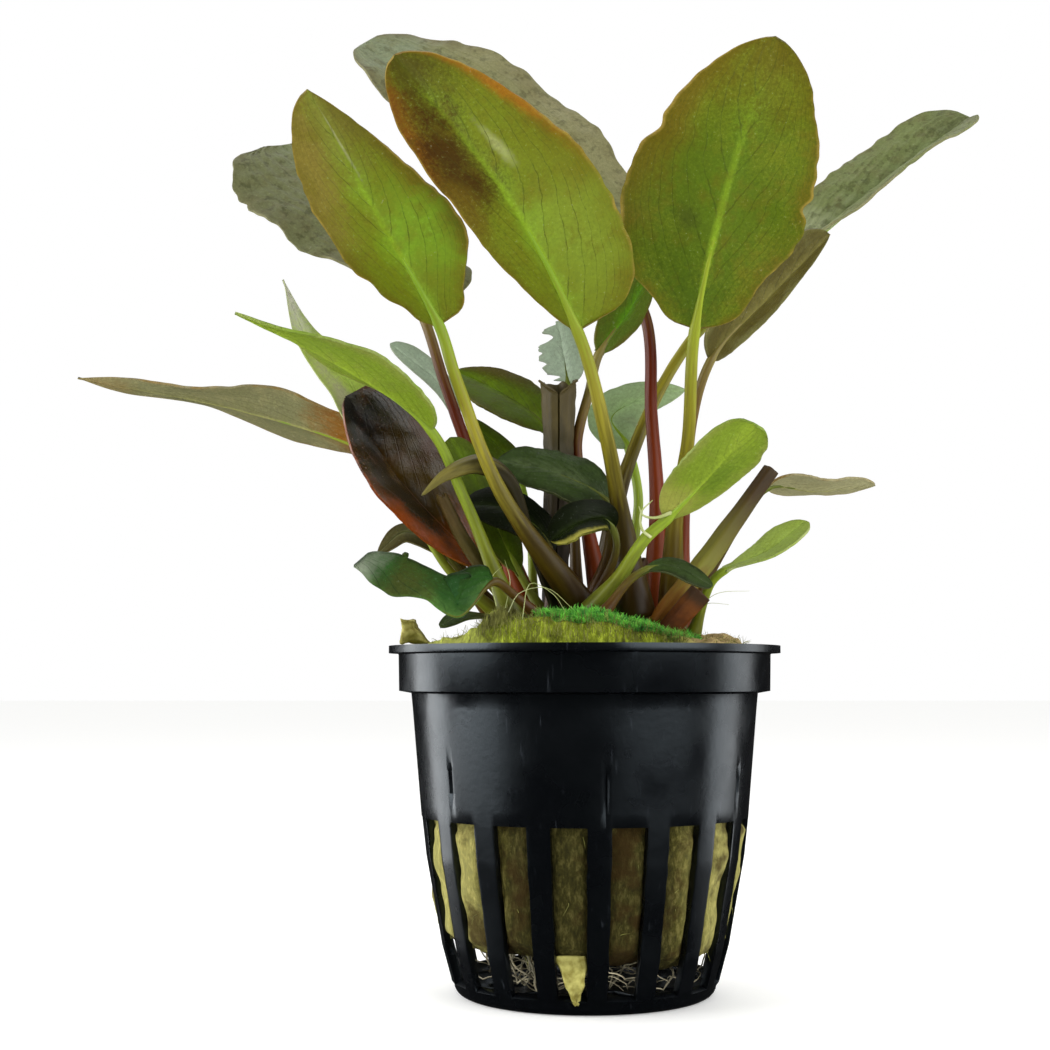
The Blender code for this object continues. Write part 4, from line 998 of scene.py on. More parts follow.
def strands(name, paths, paint, sides=0):
    """Many thin tapered strands in one mesh; each path is a list of (x, y, z, radius)."""
    deselect()
    bpy.ops.curve.primitive_bezier_curve_add()
    piece = bpy.context.object
    piece.name = name
    curve = piece.data
    curve.splines.clear()
    curve.bevel_depth = MM
    curve.bevel_resolution = sides
    curve.use_fill_caps = True
    for path in paths:
        spline = curve.splines.new("POLY")
        spline.points.add(len(path) - 1)
        for point, (x, y, z, radius) in zip(spline.points, path):
            point.co = (x * MM, y * MM, z * MM, 1.0)
            point.radius = radius
        spline.use_smooth = True
    bpy.ops.object.convert(target="MESH")
    piece = bpy.context.object
    piece.data.name = name
    piece.data.materials.clear()
    piece.data.materials.append(paint)
    smooth(piece)
    return piece


def pot_profile():
    """The pot's outer skin from the drained floor to the flange: radius, height."""
    wide = BASE_RADIUS + BASE_ROUNDING
    profile = [(DRAIN_OUTER, 0.0), (BASE_RADIUS - 0.3, 0.0)]
    for step in range(1, FOOT_STEPS + 1):
        angle = math.radians(90 * step / FOOT_STEPS)
        out = BASE_RADIUS - 0.3 + FOOT_ROUNDING * math.sin(angle)
        profile.append((out, FOOT_ROUNDING * (1 - math.cos(angle))))
    profile.append((wide, SLOT_BOTTOM))
    profile += [(radius, height) for height, radius in reversed(BARS)]
    profile.append((SLOT_TOP_RADIUS, SLOT_TOP))
    for height in (26.0, 28.0, 30.0, 31.0, 32.0, 33.0, 34.5, 36.5, 39.0):
        share = (height - SLOT_TOP) / (BAND_BOTTOM - SLOT_TOP)
        profile.append((SLOT_TOP_RADIUS + share * (BODY_RADIUS - SLOT_TOP_RADIUS), height))
    profile += [(BODY_RADIUS, BAND_BOTTOM - 0.3), (BAND_RADIUS - 0.1, BAND_BOTTOM)]
    under = sizes().pot_height / MM - WALL
    profile += [(BAND_RADIUS, under - 0.2), (BAND_RADIUS + 0.2, under)]
    profile.append((sizes().rim_radius / MM, under))
    return profile


def extrude_ring(radius, height, was):
    """Extrudes the selected ring of edges and brings it to a radius and height."""
    old_radius, old_height = was
    bpy.ops.mesh.extrude_region_move(
        TRANSFORM_OT_translate={"value": (0.0, 0.0, (height - old_height) * MM)}
    )
    share = radius / old_radius
    bpy.ops.transform.resize(value=(share, share, 1.0), center_override=(0.0, 0.0, 0.0))


def delete_faces(piece, is_gone):
    """Deletes the faces for which is_gone(angle, radius, height) holds, at their middles."""
    bpy.ops.object.mode_set(mode="OBJECT")
    for face in piece.data.polygons:
        x, y, z = face.center / MM
        face.select = is_gone(math.atan2(x, -y), math.hypot(x, y), z)
    bpy.ops.object.mode_set(mode="EDIT")
    bpy.ops.mesh.select_mode(type="FACE")
    bpy.ops.mesh.delete(type="FACE")


def from_slot(angle, every):
    """How far an angle lies from the middle of the nearest slot, of a number spaced evenly."""
    cell = math.tau / every
    return abs((angle - FRONT_SLOT_ANGLE + 0.5 * cell) % cell - 0.5 * cell)


def in_a_slot(angle, radius, height):
    is_level = SLOT_BOTTOM < height < SLOT_TOP
    return is_level and from_slot(angle, sizes().slots) < 0.5 * SLOT_ANGLE


def in_a_drain(angle, radius, height):
    is_floor = height < FLOOR_SKIN and DRAIN_INNER < radius < DRAIN_OUTER
    return is_floor and from_slot(angle, DRAINS) < 0.5 * SLOT_ANGLE


# Stacking grooves in the wall: angle from the front in degrees, lowest, highest.
GROOVES = (
    (-51.1, 26.4, 32.5),
    (4.9, 25.0, 32.0),
    (59.9, 27.0, 31.4),
    (128.9, 26.4, 32.5),
    (184.9, 25.0, 32.0),
    (239.9, 27.0, 31.4),
)


def pot_detail(piece):
    """Presses the stacking grooves in and roughens the slots' moulded edges."""
    for vertex in piece.data.vertices:
        x, y, z = vertex.co / MM
        angle = math.atan2(x, -y)
        radius = math.hypot(x, y)
        for degrees, low, high in GROOVES:
            away = (angle - math.radians(degrees) + math.pi) % math.tau - math.pi
            if abs(away) < 0.6 * math.tau / POT_COLUMNS and low < z < high:
                share = (z - low) / (high - low)
                radius -= GROOVE_DEPTH * math.sin(math.pi * share) ** 0.5
        if SLOT_BOTTOM < z < SLOT_TOP + 0.1:
            if abs(from_slot(angle, sizes().slots) - 0.5 * SLOT_ANGLE) < SLOT_EDGE:
                angle += 0.006 * noise.noise(Vector((x, y, z)) / 1.6)
        vertex.co = (radius * math.sin(angle) * MM, -radius * math.cos(angle) * MM, z * MM)


def make_net_pot():
    """The pot's skin, spun up ring by ring, cut open, then given its wall."""
    profile = pot_profile()
    first_radius, first_height = (DRAIN_INNER, 0.0)
    deselect()
    bpy.ops.mesh.primitive_circle_add(
        vertices=POT_COLUMNS,
        radius=first_radius * MM,
        fill_type="TRIFAN",
        rotation=(0.0, 0.0, FRONT_SLOT_ANGLE),
    )
    piece = bpy.context.object
    piece.name = "net_pot_shell"
    bpy.ops.object.transform_apply(location=True, rotation=True, scale=True)
    bpy.ops.object.mode_set(mode="EDIT")
    bpy.ops.mesh.select_all(action="SELECT")
    bpy.ops.mesh.region_to_loop()
    was = (first_radius, first_height)
    for radius, height in finely(profile):
        extrude_ring(radius, height, was)
        was = (radius, height)
    delete_faces(piece, in_a_slot)
    delete_faces(piece, in_a_drain)
    bpy.ops.mesh.select_all(action="SELECT")
    bpy.ops.mesh.normals_make_consistent(inside=True)
    bpy.ops.object.mode_set(mode="OBJECT")
    pot_detail(piece)
    outward = sum(face.normal.dot(face.center) for face in piece.data.polygons)
    if outward < 0:
        raise RuntimeError("the pot's skin is inside out")
    apply_modifier(piece, "SOLIDIFY", thickness=WALL * MM, offset=-1.0, use_even_offset=True)
    apply_modifier(
        piece, "BEVEL", width=0.16 * MM, segments=2, limit_method="ANGLE", angle_limit=math.radians(40),
    )
    smooth(piece, 35.0)
    piece.data.materials.append(pot_plastic())
    return keep(piece, ["net_pot"])


def finely(profile):
    """Adds rows between the slots' ends, so that the slots' edges can be uneven."""
    rows = [profile[0]]
    for (radius, height), (next_radius, next_height) in zip(profile, profile[1:]):
        steps = 8 if height >= SLOT_BOTTOM and next_height <= SLOT_TOP else 1
        for step in range(1, steps + 1):
            share = step / steps
            rows.append((radius + share * (next_radius - radius), height + share * (next_height - height)))
    return rows


def pot_inner_radius(height):
    """Radius of the pot's inside at heights."""
    levels, widths = zip(*reversed(BARS))
    heights = (0.0, *levels, SLOT_TOP, BAND_BOTTOM, 47.5)
    radii = (BASE_RADIUS, *widths, SLOT_TOP_RADIUS, BODY_RADIUS, BAND_RADIUS)
    return np.interp(height, heights, radii) - WALL


def wool_surface(x, y):
    """The wool's top as it is seen: the plain top with its tufted lump at the front left."""
    lump = hill(x, y, (-11.6, -15.5), (2.6, 4.0), 2.0)
    return wool_top(x, y) + lump + hill(x, y, (-8.0, -19.5), (4.0, 5.0), 0.8)


def wool_places(u, v):
    """Wraps a grid round the wool plug, from its underside's middle to its top's."""
    angle = math.tau * u
    ragged = 0.7 * noise_at(columns(4 * np.sin(angle), 4 * np.cos(angle), 0.0), 1.0, 6.0)
    ragged -= 1.7 * np.exp(-(((angle + math.pi) % math.tau - math.pi - 0.75) / 0.5) ** 2)
    foot = WOOL_BOTTOM + ragged
    share = np.interp(v, (UNDERSIDE, SIDE_START, LID), (0.0, 0.05, 1.0))
    height = foot + (WOOL_SIDE - 0.4 - foot) * share
    wall = pot_inner_radius(height) - 0.15
    inner = np.interp(v, (0.0, UNDERSIDE, SIDE_START), (0.0, 0.9, 1.0))
    lid = np.interp(v, (LID, 0.63, 0.74, 1.0), (1.0, 0.97, 0.86, 0.0))
    away = from_slot(angle, sizes().slots)
    in_slot = np.clip((0.5 * SLOT_ANGLE - away) / (0.12 * SLOT_ANGLE), 0.0, 1.0)
    in_slot *= np.clip((SLOT_TOP - 0.3 - height) / 1.5, 0.0, 1.0) * (v > UNDERSIDE)
    in_slot = in_slot * in_slot * (3 - 2 * in_slot)
    flat = columns(wall * np.sin(angle), -wall * np.cos(angle), height)
    lump = noise_at(flat, 4.0, 3.0)
    fine = noise_at(flat * (1.0, 1.0, 0.5), 0.9, 7.0)
    beside = np.clip((wall * np.abs(np.sin(angle)) - 7.0) / 8.0, 0.0, 1.0)
    bulge = (0.4 + 0.35 * beside) * (1.0 + 0.8 * np.clip(lump, -0.3, 0.7))
    radius = (wall + in_slot * bulge) * inner * lid
    radius += (0.2 * fine + 0.25 * lump) * (v > 0.1) * (v < LID)
    x = radius * np.sin(angle)
    y = -radius * np.cos(angle)
    edge = 22.5 + 0.9 * noise_at(columns(x, y, 0.0), 1.7, 8.0)
    stands = np.clip((edge - radius) / 0.8, 0.0, 1.0)
    top = WOOL_SIDE - 0.4 + (wool_surface(x, y) - WOOL_SIDE + 0.4) * stands
    z = np.where(v > LID, top, height)
    flat = columns(x, y, 0.0)
    tufts = 0.4 * noise_at(flat, 1.1, 2.0) + 0.6 * noise_at(flat, 2.4, 5.0) * stands
    z += np.where(v > LID, tufts, 0.0)
    z += np.where(v < UNDERSIDE, 0.8 * noise_at(columns(x, y, 0.0), 3.0, 2.0), 0.0)
    return columns(x, y, z)


def make_rock_wool():
    """The wool plug with its loose fibres, and the corner block at the rim."""
    wool = wool_material()
    plug = tube_piece("rock_wool_plug", 320, 210, wool_places, wool)
    keep(plug, ["rock_wool"])
    pale = fibre_material("pale_wool", linear("#8E8434"), linear("#C4BE6A"), 0.2, 1.0)
    block = wool_block(pale)
    keep(block, ["wool_corner"])
    paint = fibre_material("wool_fibre", linear("#4E4A16"), linear("#A0A24C"), 0.2)
    fibres = strands("rock_wool_fibres", wool_fibres(), paint)
    for loose in (fibres, wool_flap(pale)):
        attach(loose, BODY)


def wool_block(wool):
    """The loose square corner of wool: a box, subdivided and made rough."""
    low, high = (Vector(corner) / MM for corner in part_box("wool_corner"))
    deselect()
    bpy.ops.mesh.primitive_cube_add(size=1.0)
    piece = bpy.context.object
    piece.name = "wool_corner_block"
    bpy.ops.object.mode_set(mode="EDIT")
    bpy.ops.mesh.subdivide(number_cuts=9)
    bpy.ops.object.mode_set(mode="OBJECT")
    for vertex in piece.data.vertices:
        share = vertex.co + Vector((0.5, 0.5, 0.5))
        place = Vector(a + (b - a) * s for a, b, s in zip(low, high, share))
        place.x += share.x * (1.8 * max(0.0, 0.7 - share.z) - 0.7 * share.z)
        inwards = (low + high) / 2 - place
        rough = 0.1 + 0.3 * noise.noise(place / 1.6) + 0.1 * noise.noise(place / 0.5)
        vertex.co = (place + inwards * rough) * MM
    smooth(piece)
    piece.data.materials.append(wool)
    return piece


def wool_flap(wool):
    """The pale torn flap that hangs from the plug's underside in the front slot."""

    def place_at(u, v):
        half = 2.0 * (1.0 - v) ** 0.7 * (1.0 + 0.3 * noise_at(columns(5 * v, u, 0.0), 1.0, 5.0))
        x = FLAP_X + half * (2 * u - 1) + 0.6 * v
        y = -18.4 - 0.9 * np.sin(math.pi * v) + 0.4 * np.sin(3 * u) + 0.3 * np.sin(9 * v)
        return columns(x, y, WOOL_BOTTOM + 0.8 - 6.2 * v)

    piece = shaped_grid("rock_wool_flap", 12, 24, place_at)
    apply_modifier(piece, "SOLIDIFY", thickness=0.5 * MM, offset=0.0)
    smooth(piece)
    piece.data.materials.append(wool)
    return piece


def wool_fibres():
    """Loose fibres on the wool's top, on its tufts and in its slots."""
    pick = random.Random(11)
    paths = []
    longest = sizes().fibre_length / MM
    while len(paths) < sizes().fibres:
        angle = pick.uniform(0.0, math.tau)
        kind = pick.random()
        if kind < ON_TUFT:
            x, y = pick.gauss(-11.6, 1.3), pick.gauss(-16.5, 1.5)
            start = Vector((x, y, float(wool_surface(x, y)) - 0.3))
            way = Vector((pick.gauss(0, 0.2), pick.gauss(-0.1, 0.2), 1.0))
        elif kind < ON_EDGE:
            angle = pick.uniform(-0.7, 0.6)
            radius = 22.4 + pick.gauss(0, 0.2)
            x, y = radius * math.sin(angle), -radius * math.cos(angle)
            low = WOOL_SIDE + pick.random() * (float(wool_surface(0.95 * x, 0.95 * y)) - WOOL_SIDE)
            start = Vector((x, y, low))
            way = Vector((pick.gauss(0, 0.15), pick.gauss(-0.05, 0.1), 1.0))
        elif kind < ON_TOP:
            radius = 23.0 * math.sqrt(pick.random())
            x, y = radius * math.sin(angle), -radius * math.cos(angle)
            start = Vector((x, y, float(wool_surface(x, y)) - 0.1))
            way = Vector((pick.gauss(0, 1), pick.gauss(0, 1), 0.35 + 0.5 * pick.random()))
        else:
            height = pick.uniform(WOOL_BOTTOM, SLOT_TOP - 1.0)
            cell = math.tau / sizes().slots
            index = round((angle - FRONT_SLOT_ANGLE) / cell)
            angle = FRONT_SLOT_ANGLE + index * cell + pick.uniform(-0.4, 0.4) * SLOT_ANGLE
            radius = float(pot_inner_radius(height)) + 0.2
            start = Vector((radius * math.sin(angle), -radius * math.cos(angle), height))
            out = Vector((math.sin(angle), -math.cos(angle), 0.0))
            way = 0.25 * out + Vector((pick.gauss(0, 0.5), pick.gauss(0, 0.5), pick.gauss(0, 1)))
            way -= out * max(0.0, way.dot(out) - 0.25)
        way = way.normalized() * longest * pick.uniform(0.4, 1.0)
        bend = Vector((pick.gauss(0, 1), pick.gauss(0, 1), pick.gauss(0, 1))) * 0.14 * way.length
        thick = pick.uniform(0.02, 0.045)
        points = [start, start + 0.35 * way + bend, start + 0.7 * way + 0.6 * bend, start + way]
        paths.append([(*point, thick * taper) for point, taper in zip(points, (1.0, 0.9, 0.7, 0.3))])
    return paths


def moss_reach(angle):
    """How far the moss spreads from its middle; at the front it grows out to the wool's edge."""
    along = MOSS_CENTRE[0] * np.sin(angle) - MOSS_CENTRE[1] * np.cos(angle)
    middle = MOSS_CENTRE[0] ** 2 + MOSS_CENTRE[1] ** 2
    to_edge = np.sqrt(along**2 - middle + MOSS_FRONT**2) - along
    turned = (angle + math.pi) % math.tau - math.pi
    front = np.exp(-((turned / 0.72) ** 6))
    return MOSS_RADIUS + front * (to_edge - MOSS_RADIUS)


def moss_over(x, y):
    """Height of the moss as it is seen above the point x, y."""
    aside, back = x - MOSS_CENTRE[0], y - MOSS_CENTRE[1]
    far = np.hypot(aside, back) / moss_reach(np.arctan2(aside, -back))
    return wool_surface(x, y) + 0.2 + 1.3 * np.sqrt(np.maximum(0.0, 1.0 - far**2)) ** 1.5


def moss_places(u, v):
    """Wraps a grid round the moss cushion, from its underside's middle to its top's."""
    angle = math.tau * u
    radius = moss_reach(angle) * np.interp(v, (0.0, 0.3, 0.36, 1.0), (0.0, 0.97, 1.0, 0.0))
    flat = columns(np.sin(angle), np.cos(angle), 0.0)
    radius = radius * (1.0 + 0.04 * noise_at(flat, 0.3, 4.0))
    x = MOSS_CENTRE[0] + radius * np.sin(angle)
    y = MOSS_CENTRE[1] - radius * np.cos(angle)
    bump = 0.4 * noise_at(columns(x, y, 0.0), 0.8, 9.0)
    z = np.where(v < 0.33, wool_surface(x, y) - 0.6, moss_over(x, y) - 0.1 + bump)
    return columns(x, y, z)


def moss_shoots():
    """Short leafy shoots all over the cushion, thickest along its front edge."""
    pick = random.Random(23)
    paths = []
    longest = sizes().moss_length / MM
    while len(paths) < sizes().shoots:
        if pick.random() < 0.5:
            angle = pick.gauss(0.0, 0.4)
            share = 1.0 - abs(pick.gauss(0.0, 0.07))
        else:
            angle = pick.uniform(0.0, math.tau)
            share = pick.random() ** 0.5
        radius = float(moss_reach(angle)) * share
        x = MOSS_CENTRE[0] + radius * math.sin(angle)
        y = MOSS_CENTRE[1] - radius * math.cos(angle)
        start = Vector((x, y, float(moss_over(x, y)) - 0.3))
        out = Vector((math.sin(angle), -math.cos(angle), -0.2)) * share**6
        way = 0.8 * out + Vector((pick.gauss(0, 0.45), pick.gauss(0, 0.45), 0.8))
        way = way.normalized() * longest * pick.uniform(0.3, 0.75)
        bend = Vector((pick.gauss(0, 1), pick.gauss(0, 1), 0.0)) * 0.16 * way.length
        thick = pick.uniform(0.05, 0.1)
        points = [start, start + 0.5 * way + bend, start + way]
        paths.append([(*point, thick * taper) for point, taper in zip(points, (1.0, 0.9, 0.25))])
    return paths


def make_moss():
    """The moss cushion and its shoots, in one mesh."""
    paint = fibre_material("moss_shoots", tuple(colours().moss_dark), tuple(colours().moss), 0.4, 1.0)
    cushion = tube_piece("moss_cushion", 120, 60, moss_places, paint)
    shoots = strands("moss_shoots", moss_shoots(), paint)
    keep(joined([cushion, shoots]), ["moss_mat"])


def root_paths():
    """Curly roots that wander down and round below the wool."""
    pick = random.Random(5)
    paths = []
    for _ in range(sizes().roots):
        angle = pick.uniform(0.0, math.tau)
        radius = 16.2 * pick.random() ** 0.35
        place = Vector((radius * math.sin(angle), -radius * math.cos(angle), WOOL_BOTTOM + 0.8))
        heading = Vector((0.0, 0.0, -1.0))
        thick = pick.uniform(0.09, 0.22)
        path = []
        steps = pick.randint(14, 30)
        swirl = pick.choice((-1, 1)) * pick.uniform(0.25, 0.7)
        for step in range(steps):
            path.append((*place, thick * (1.0 - 0.6 * step / steps)))
            side = Vector((-place.y, place.x, 0.0)).normalized()
            heading += 0.5 * swirl * side + Vector(
                (pick.gauss(0, 0.35), pick.gauss(0, 0.35), pick.gauss(-0.1, 0.3))
            )
            if place.z < 3.0:
                heading.z = abs(heading.z)
            if place.z > WOOL_BOTTOM:
                heading.z = -abs(heading.z)
            if math.hypot(place.x, place.y) > 16.6:
                heading -= Vector((place.x, place.y, 0.0)).normalized() * 0.8
            heading.normalize()
            place = place + heading * 0.8
        paths.append(path)
    return paths


def make_roots():
    """The tangle of fine roots below the wool, in one mesh."""
    pale = tuple(colours().roots)
    paint = fibre_material("fine_roots", tuple(0.18 * c for c in pale), pale, 0.1, 3.0)
    piece = strands("fine_root_tangle", root_paths(), paint, 1)
    keep(piece, ["root_tangle"])


# Materials made so far, by look.
LEAF_MATERIALS = {}
STEM_MATERIALS = {}


def leaf_materials(leaf, name):
    """(upper side, underside) materials; leaves of one look share them unless they have patches."""
    look = leaf["look"]
    key = f"{look}_{name}" if "patches" in leaf else look
    if key not in LEAF_MATERIALS:
        under, upper, rim, vein, roughness = LOOKS[look]
        patches = leaf.get("patches", ())
        made = []
        for side, tones in (("upper", upper), ("under", under)):
            spots = 1.6 * leaf.get("pucker", 0.0) if side == "upper" else 0.0
            skin = f"leaf_{key}_{side}"
            edges = (linear(rim), linear(vein))
            made.append(leaf_material(skin, tones_of(tones), *edges, roughness, patches, spots))
        LEAF_MATERIALS[key] = made
    return LEAF_MATERIALS[key]


def stem_paint(look):
    """The stem material of a look; stems of one look share it."""
    if look not in STEM_MATERIALS:
        STEM_MATERIALS[look] = stem_material(f"petiole_{look}", tones_of(STEM_LOOKS[look]))
    return STEM_MATERIALS[look]


def make_blade(name, leaf, seed):
    """A leaf's blade: a formed sheet with its own upper side and underside."""
    across, along = leaf["grid"]
    start = 0.85 * leaf.get("stalk", 0.0)
    piece = shaped_grid("blade_" + name, across, along, blade_places(leaf, seed, start))
    upper, under = leaf_materials(leaf, name)
    piece.data.materials.append(upper)
    piece.data.materials.append(under)
    apply_modifier(piece, "SOLIDIFY", thickness=sizes().blade_thickness, offset=0.0, material_offset=1)
    smooth(piece, 60.0)
    return piece


def grown_from(points, depth):
    """A path's points with one more below its foot, so that the stem starts inside its bed."""
    return [points[0] + (points[0] - points[1]).normalized() * depth, *points]


def make_petiole(name, leaf, seed):
    """The petiole, running on as the rib under the blade."""
    points = grown_from(path_of(leaf), ROOTING)
    last = len(points) - 1
    root_radius, collar_radius = leaf.get("stem_radius", (BLADE_COLLAR, 0.6))
    spans = [(b - a).length for a, b in zip(points, points[1:])]
    if leaf["stem"]:
        collar = sum(spans[: len(leaf["stem"]) + 1]) / sum(spans)
    else:
        collar = 0.15 + 0.85 * leaf.get("stalk", 0.0)
    end = collar + RIB_LENGTH * (1 - collar)
    stations = np.linspace(0.0, end, STATIONS)
    before = np.clip(stations / collar, 0.0, 1.0)
    beyond = np.clip((stations - collar) / (end - collar), 0.0, 1.0)
    radii = 0.95 * root_radius + (0.82 * collar_radius - 0.95 * root_radius) * before**0.6
    radii = radii * (1.0 + 0.85 * np.exp(-((stations / collar / 0.28) ** 2)))
    radii = radii * (0.06 + 0.94 * (1 - beyond) * (0.45 + 0.55 * np.exp(-9.0 * beyond)))
    sunk = np.clip((stations - collar) / 0.1, 0.0, 1.0)
    below = -np.outer(sunk * radii * 0.35, Vector(leaf["facing"][0]).normalized())
    where = tube_places(points, last, radii, end, seed=seed, offset=below)
    return tube_piece("petiole_" + name, 16, 120, where, stem_paint(leaf["stem_look"]))


def make_leaves():
    """Every leaf: its blade, and its petiole with the rib under the blade."""
    for index, (name, leaf) in enumerate(LEAVES.items()):
        blade = make_blade(name, leaf, 1.0 + index)
        petiole = make_petiole(name, leaf, 1.0 + index)
        if leaf["stem"]:
            keep(petiole, ["stem_" + name])
        else:
            blade = joined([blade, petiole])
        keep(blade, ["leaf_" + name])


# Cut stalks, sheaths and a rolled leaf: points, radii from foot to top, look, and the
# gap in its wall in degrees at foot and top. A gap that is negative faces the front.
ROUND_PIECES = {
    "hollow_cut_stalk": (
        ((-4.2, 0.2), (-3.6, 0.2, 68.0), (-3.5, 0.2, 85.0)), (1.6, 1.8, 2.0, 2.1, 2.5), "stalk_hollow",
        (-7, -150),
    ),
    "cut_stalk_right": (
        ((10.6, -9.0), (15.4, -8.4, 57.6), (20.5, -7.6, 64.5), (25.8, -6.6, 71.8)),
        (1.2, 1.4, 1.5, 1.35, 1.15, 1.1), "stalk_cut", None,
    ),
    "cut_stub_right": (((12.2, -12.8), (15.2, -13.4, 54.4)), (1.4, 1.55), "stub", None),
    "sheath_left": (
        ((-9.6, -9.8), (-13.2, -11.5, 56.8), (-16.7, -12.3, 61.9), (-19.4, -13.0, 67.4)), (1.0, 0.95, 0.8),
        "sheath_olive", (60, 60),
    ),
    "sheath_middle": (((7.6, -1.6), (7.4, -2.2, 59.4)), (1.9, 1.5), "stub", (60, 60)),
    "rolled_leaf": (
        (
            (-4.6, -8.6), (-7.6, -10.5, 62.0), (-10.4, -13.2, 69.0), (-14.0, -15.6, 71.2),
            (-18.6, -17.2, 69.6), (-21.8, -18.0, 66.8),
        ),
        (0.6, 0.7, 0.75, 0.85, 1.2, 1.35, 0.9, 0.15), "horn", None,
    ),
}

ROUND_LOOKS = {
    "stalk_hollow": "#1E1606 #2A1E0C #302A10 #463C1C",
    "stalk_cut": "#7A4A12 #6E6C26 #504818 #38280E",
    "stub": "#4A2408 #5A2E0C #683A12 #3E2814",
    "sheath_olive": "#36300C #423A10 #463C12 #4A3A16",
    "horn": "#241E08 #241E08 #2A2408 #665E28",
}


def channel_places(points, last, radii, gap, seed):
    """The function that wraps a grid part of the way round a path, as an open sheath."""
    stations = np.linspace(0.0, 1.0, STATIONS)
    evenly = np.linspace(0.0, 1.0, len(radii))
    facing = Vector((0.0, math.copysign(1.0, -gap[1]), 0.0))
    middles, sides, fronts = [], [], []
    for step in range(STATIONS):
        place, along = path_between(points, 0, last, step / (STATIONS - 1))
        side = along.cross(facing).normalized()
        middles.append(place)
        sides.append(side)
        fronts.append(side.cross(along))

    def place_at(u, v):
        open_share = np.interp(v, (0.0, 0.94, 1.0), np.abs((gap[0], gap[0], gap[1])))
        turn = np.radians(360.0 - open_share) * (u - 0.5)
        middle, across, front = (along_stations(v, stations, way) for way in (middles, sides, fronts))
        radius = np.interp(v, evenly, radii)
        curl = np.clip((np.abs(u - 0.5) - 0.46) / 0.04, 0.0, 1.0)
        radius = radius * (1.0 + 0.14 * curl) * (1.0 + 0.05 * np.cos(7 * turn))
        way = across * np.sin(turn)[:, None] + front * np.cos(turn)[:, None]
        ragged = noise_at(columns(6 * u, 0.0, 0.0), 1.0, seed) * v**12
        rough = 1.0 + 0.06 * noise_at(middle + way, 1.4, seed)
        return middle + way * (radius * rough)[:, None] + np.outer(ragged, (0.0, 0.0, 1.0))

    return place_at


def make_round_piece(name, ends, radii, look, gap, seed):
    """One round piece: a closed stalk, or an open channel if its wall has a gap."""
    points = grown_from(rooted(ends, radii[0]), ROOTING)
    last = len(points) - 1
    if look not in STEM_MATERIALS:
        tones = tones_of(ROUND_LOOKS[look])
        STEM_MATERIALS[look] = stem_material(look, tones, 0.5, (0.1, 0.4, 0.66, 0.86))
    paint = STEM_MATERIALS[look]
    if gap:
        piece = shaped_grid("cut_" + name, 64, 90, channel_places(points, last, radii, gap, seed))
        piece.data.materials.append(paint)
        apply_modifier(piece, "SOLIDIFY", thickness=0.3 * MM, offset=-1.0)
        smooth(piece, 50.0)
    else:
        where = tube_places(points, last, list(radii), 1.0, grooves=0.08, seed=seed)
        piece = tube_piece("cut_" + name, 32, 90, where, paint)
    return keep(piece, [name])


def make_cut_stalks():
    """Every cut stalk and sheath, and the rolled leaf."""
    for index, (name, (ends, radii, look, gap)) in enumerate(ROUND_PIECES.items()):
        make_round_piece(name, ends, radii, look, gap, 40.0 + index)


# Fine pale hairs and tendrils at the stems' feet: points, then radius at root and tip.
HAIRS = (
    (((14.6, -12.0, 52.2), (17.4, -12.4, 54.3), (21.6, -13.0, 54.6)), 0.06, 0.02),
    (((13.8, -12.5, 52.0), (16.0, -14.0, 52.9), (18.6, -15.0, 52.7)), 0.05, 0.02),
    (((-8.6, -19.6, 50.6), (-7.6, -20.0, 55.2), (-4.6, -20.2, 53.8), (-3.0, -20.4, 51.4)), 0.06, 0.03),
    (((-10.4, -18.0, 51.6), (-9.0, -19.0, 54.0), (-5.4, -20.0, 54.6), (-2.0, -20.4, 51.8)), 0.06, 0.03),
    (((-12.0, -17.0, 52.4), (-12.6, -17.6, 56.0), (-11.2, -18.0, 57.6)), 0.07, 0.02),
    (((-10.8, -17.0, 52.2), (-10.2, -17.6, 55.6), (-10.9, -18.0, 58.4)), 0.07, 0.02),
    (((10.9, -17.8, 64.6), (8.8, -18.0, 63.9), (7.2, -18.0, 64.2), (6.6, -18.0, 65.4)), 0.3, 0.08),
    (((8.2, -17.4, 61.4), (7.0, -18.0, 62.4), (6.9, -18.0, 64.6), (8.4, -18.0, 66.2)), 0.22, 0.06),
)


def make_hairs():
    """Loose root hairs, and the young tendrils at the front leaf's collar."""
    pale = fibre_material("pale_root_hairs", linear("#8E9C3C"), linear("#C9CE9A"), 0.2, 4.0)
    paths = []
    for points, root, tip in HAIRS:
        corners = [Vector(point) for point in points]
        path = []
        for step in range(HAIR_STEPS + 1):
            share = step / HAIR_STEPS
            place, _ = path_between(corners, 0, len(corners) - 1, share)
            path.append((*place, root + (tip - root) * share))
        paths.append(path)
    piece = strands("pale_root_hairs", paths, pale, 1)
    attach(piece, BODY)


# The camera stands in front of the pot at the height of its band, and looks a little up.
CAMERA_PLACE = (-8.257, -240.0, 43.1)
CAMERA_TILT = 95.11
CAMERA_LENS = 58.56


def area_light(name, place, target, width, height, power):
    """A soft rectangular light at a place, facing a target; places in millimetres."""
    deselect()
    bpy.ops.object.light_add(type="AREA", location=Vector(place) * MM)
    light = bpy.context.object
    light.name = name
    light.data.shape = "RECTANGLE"
    light.data.size = width * MM
    light.data.size_y = height * MM
    light.data.energy = power
    light.rotation_euler = (Vector(target) - Vector(place)).to_track_quat("-Z", "Y").to_euler()
    return light


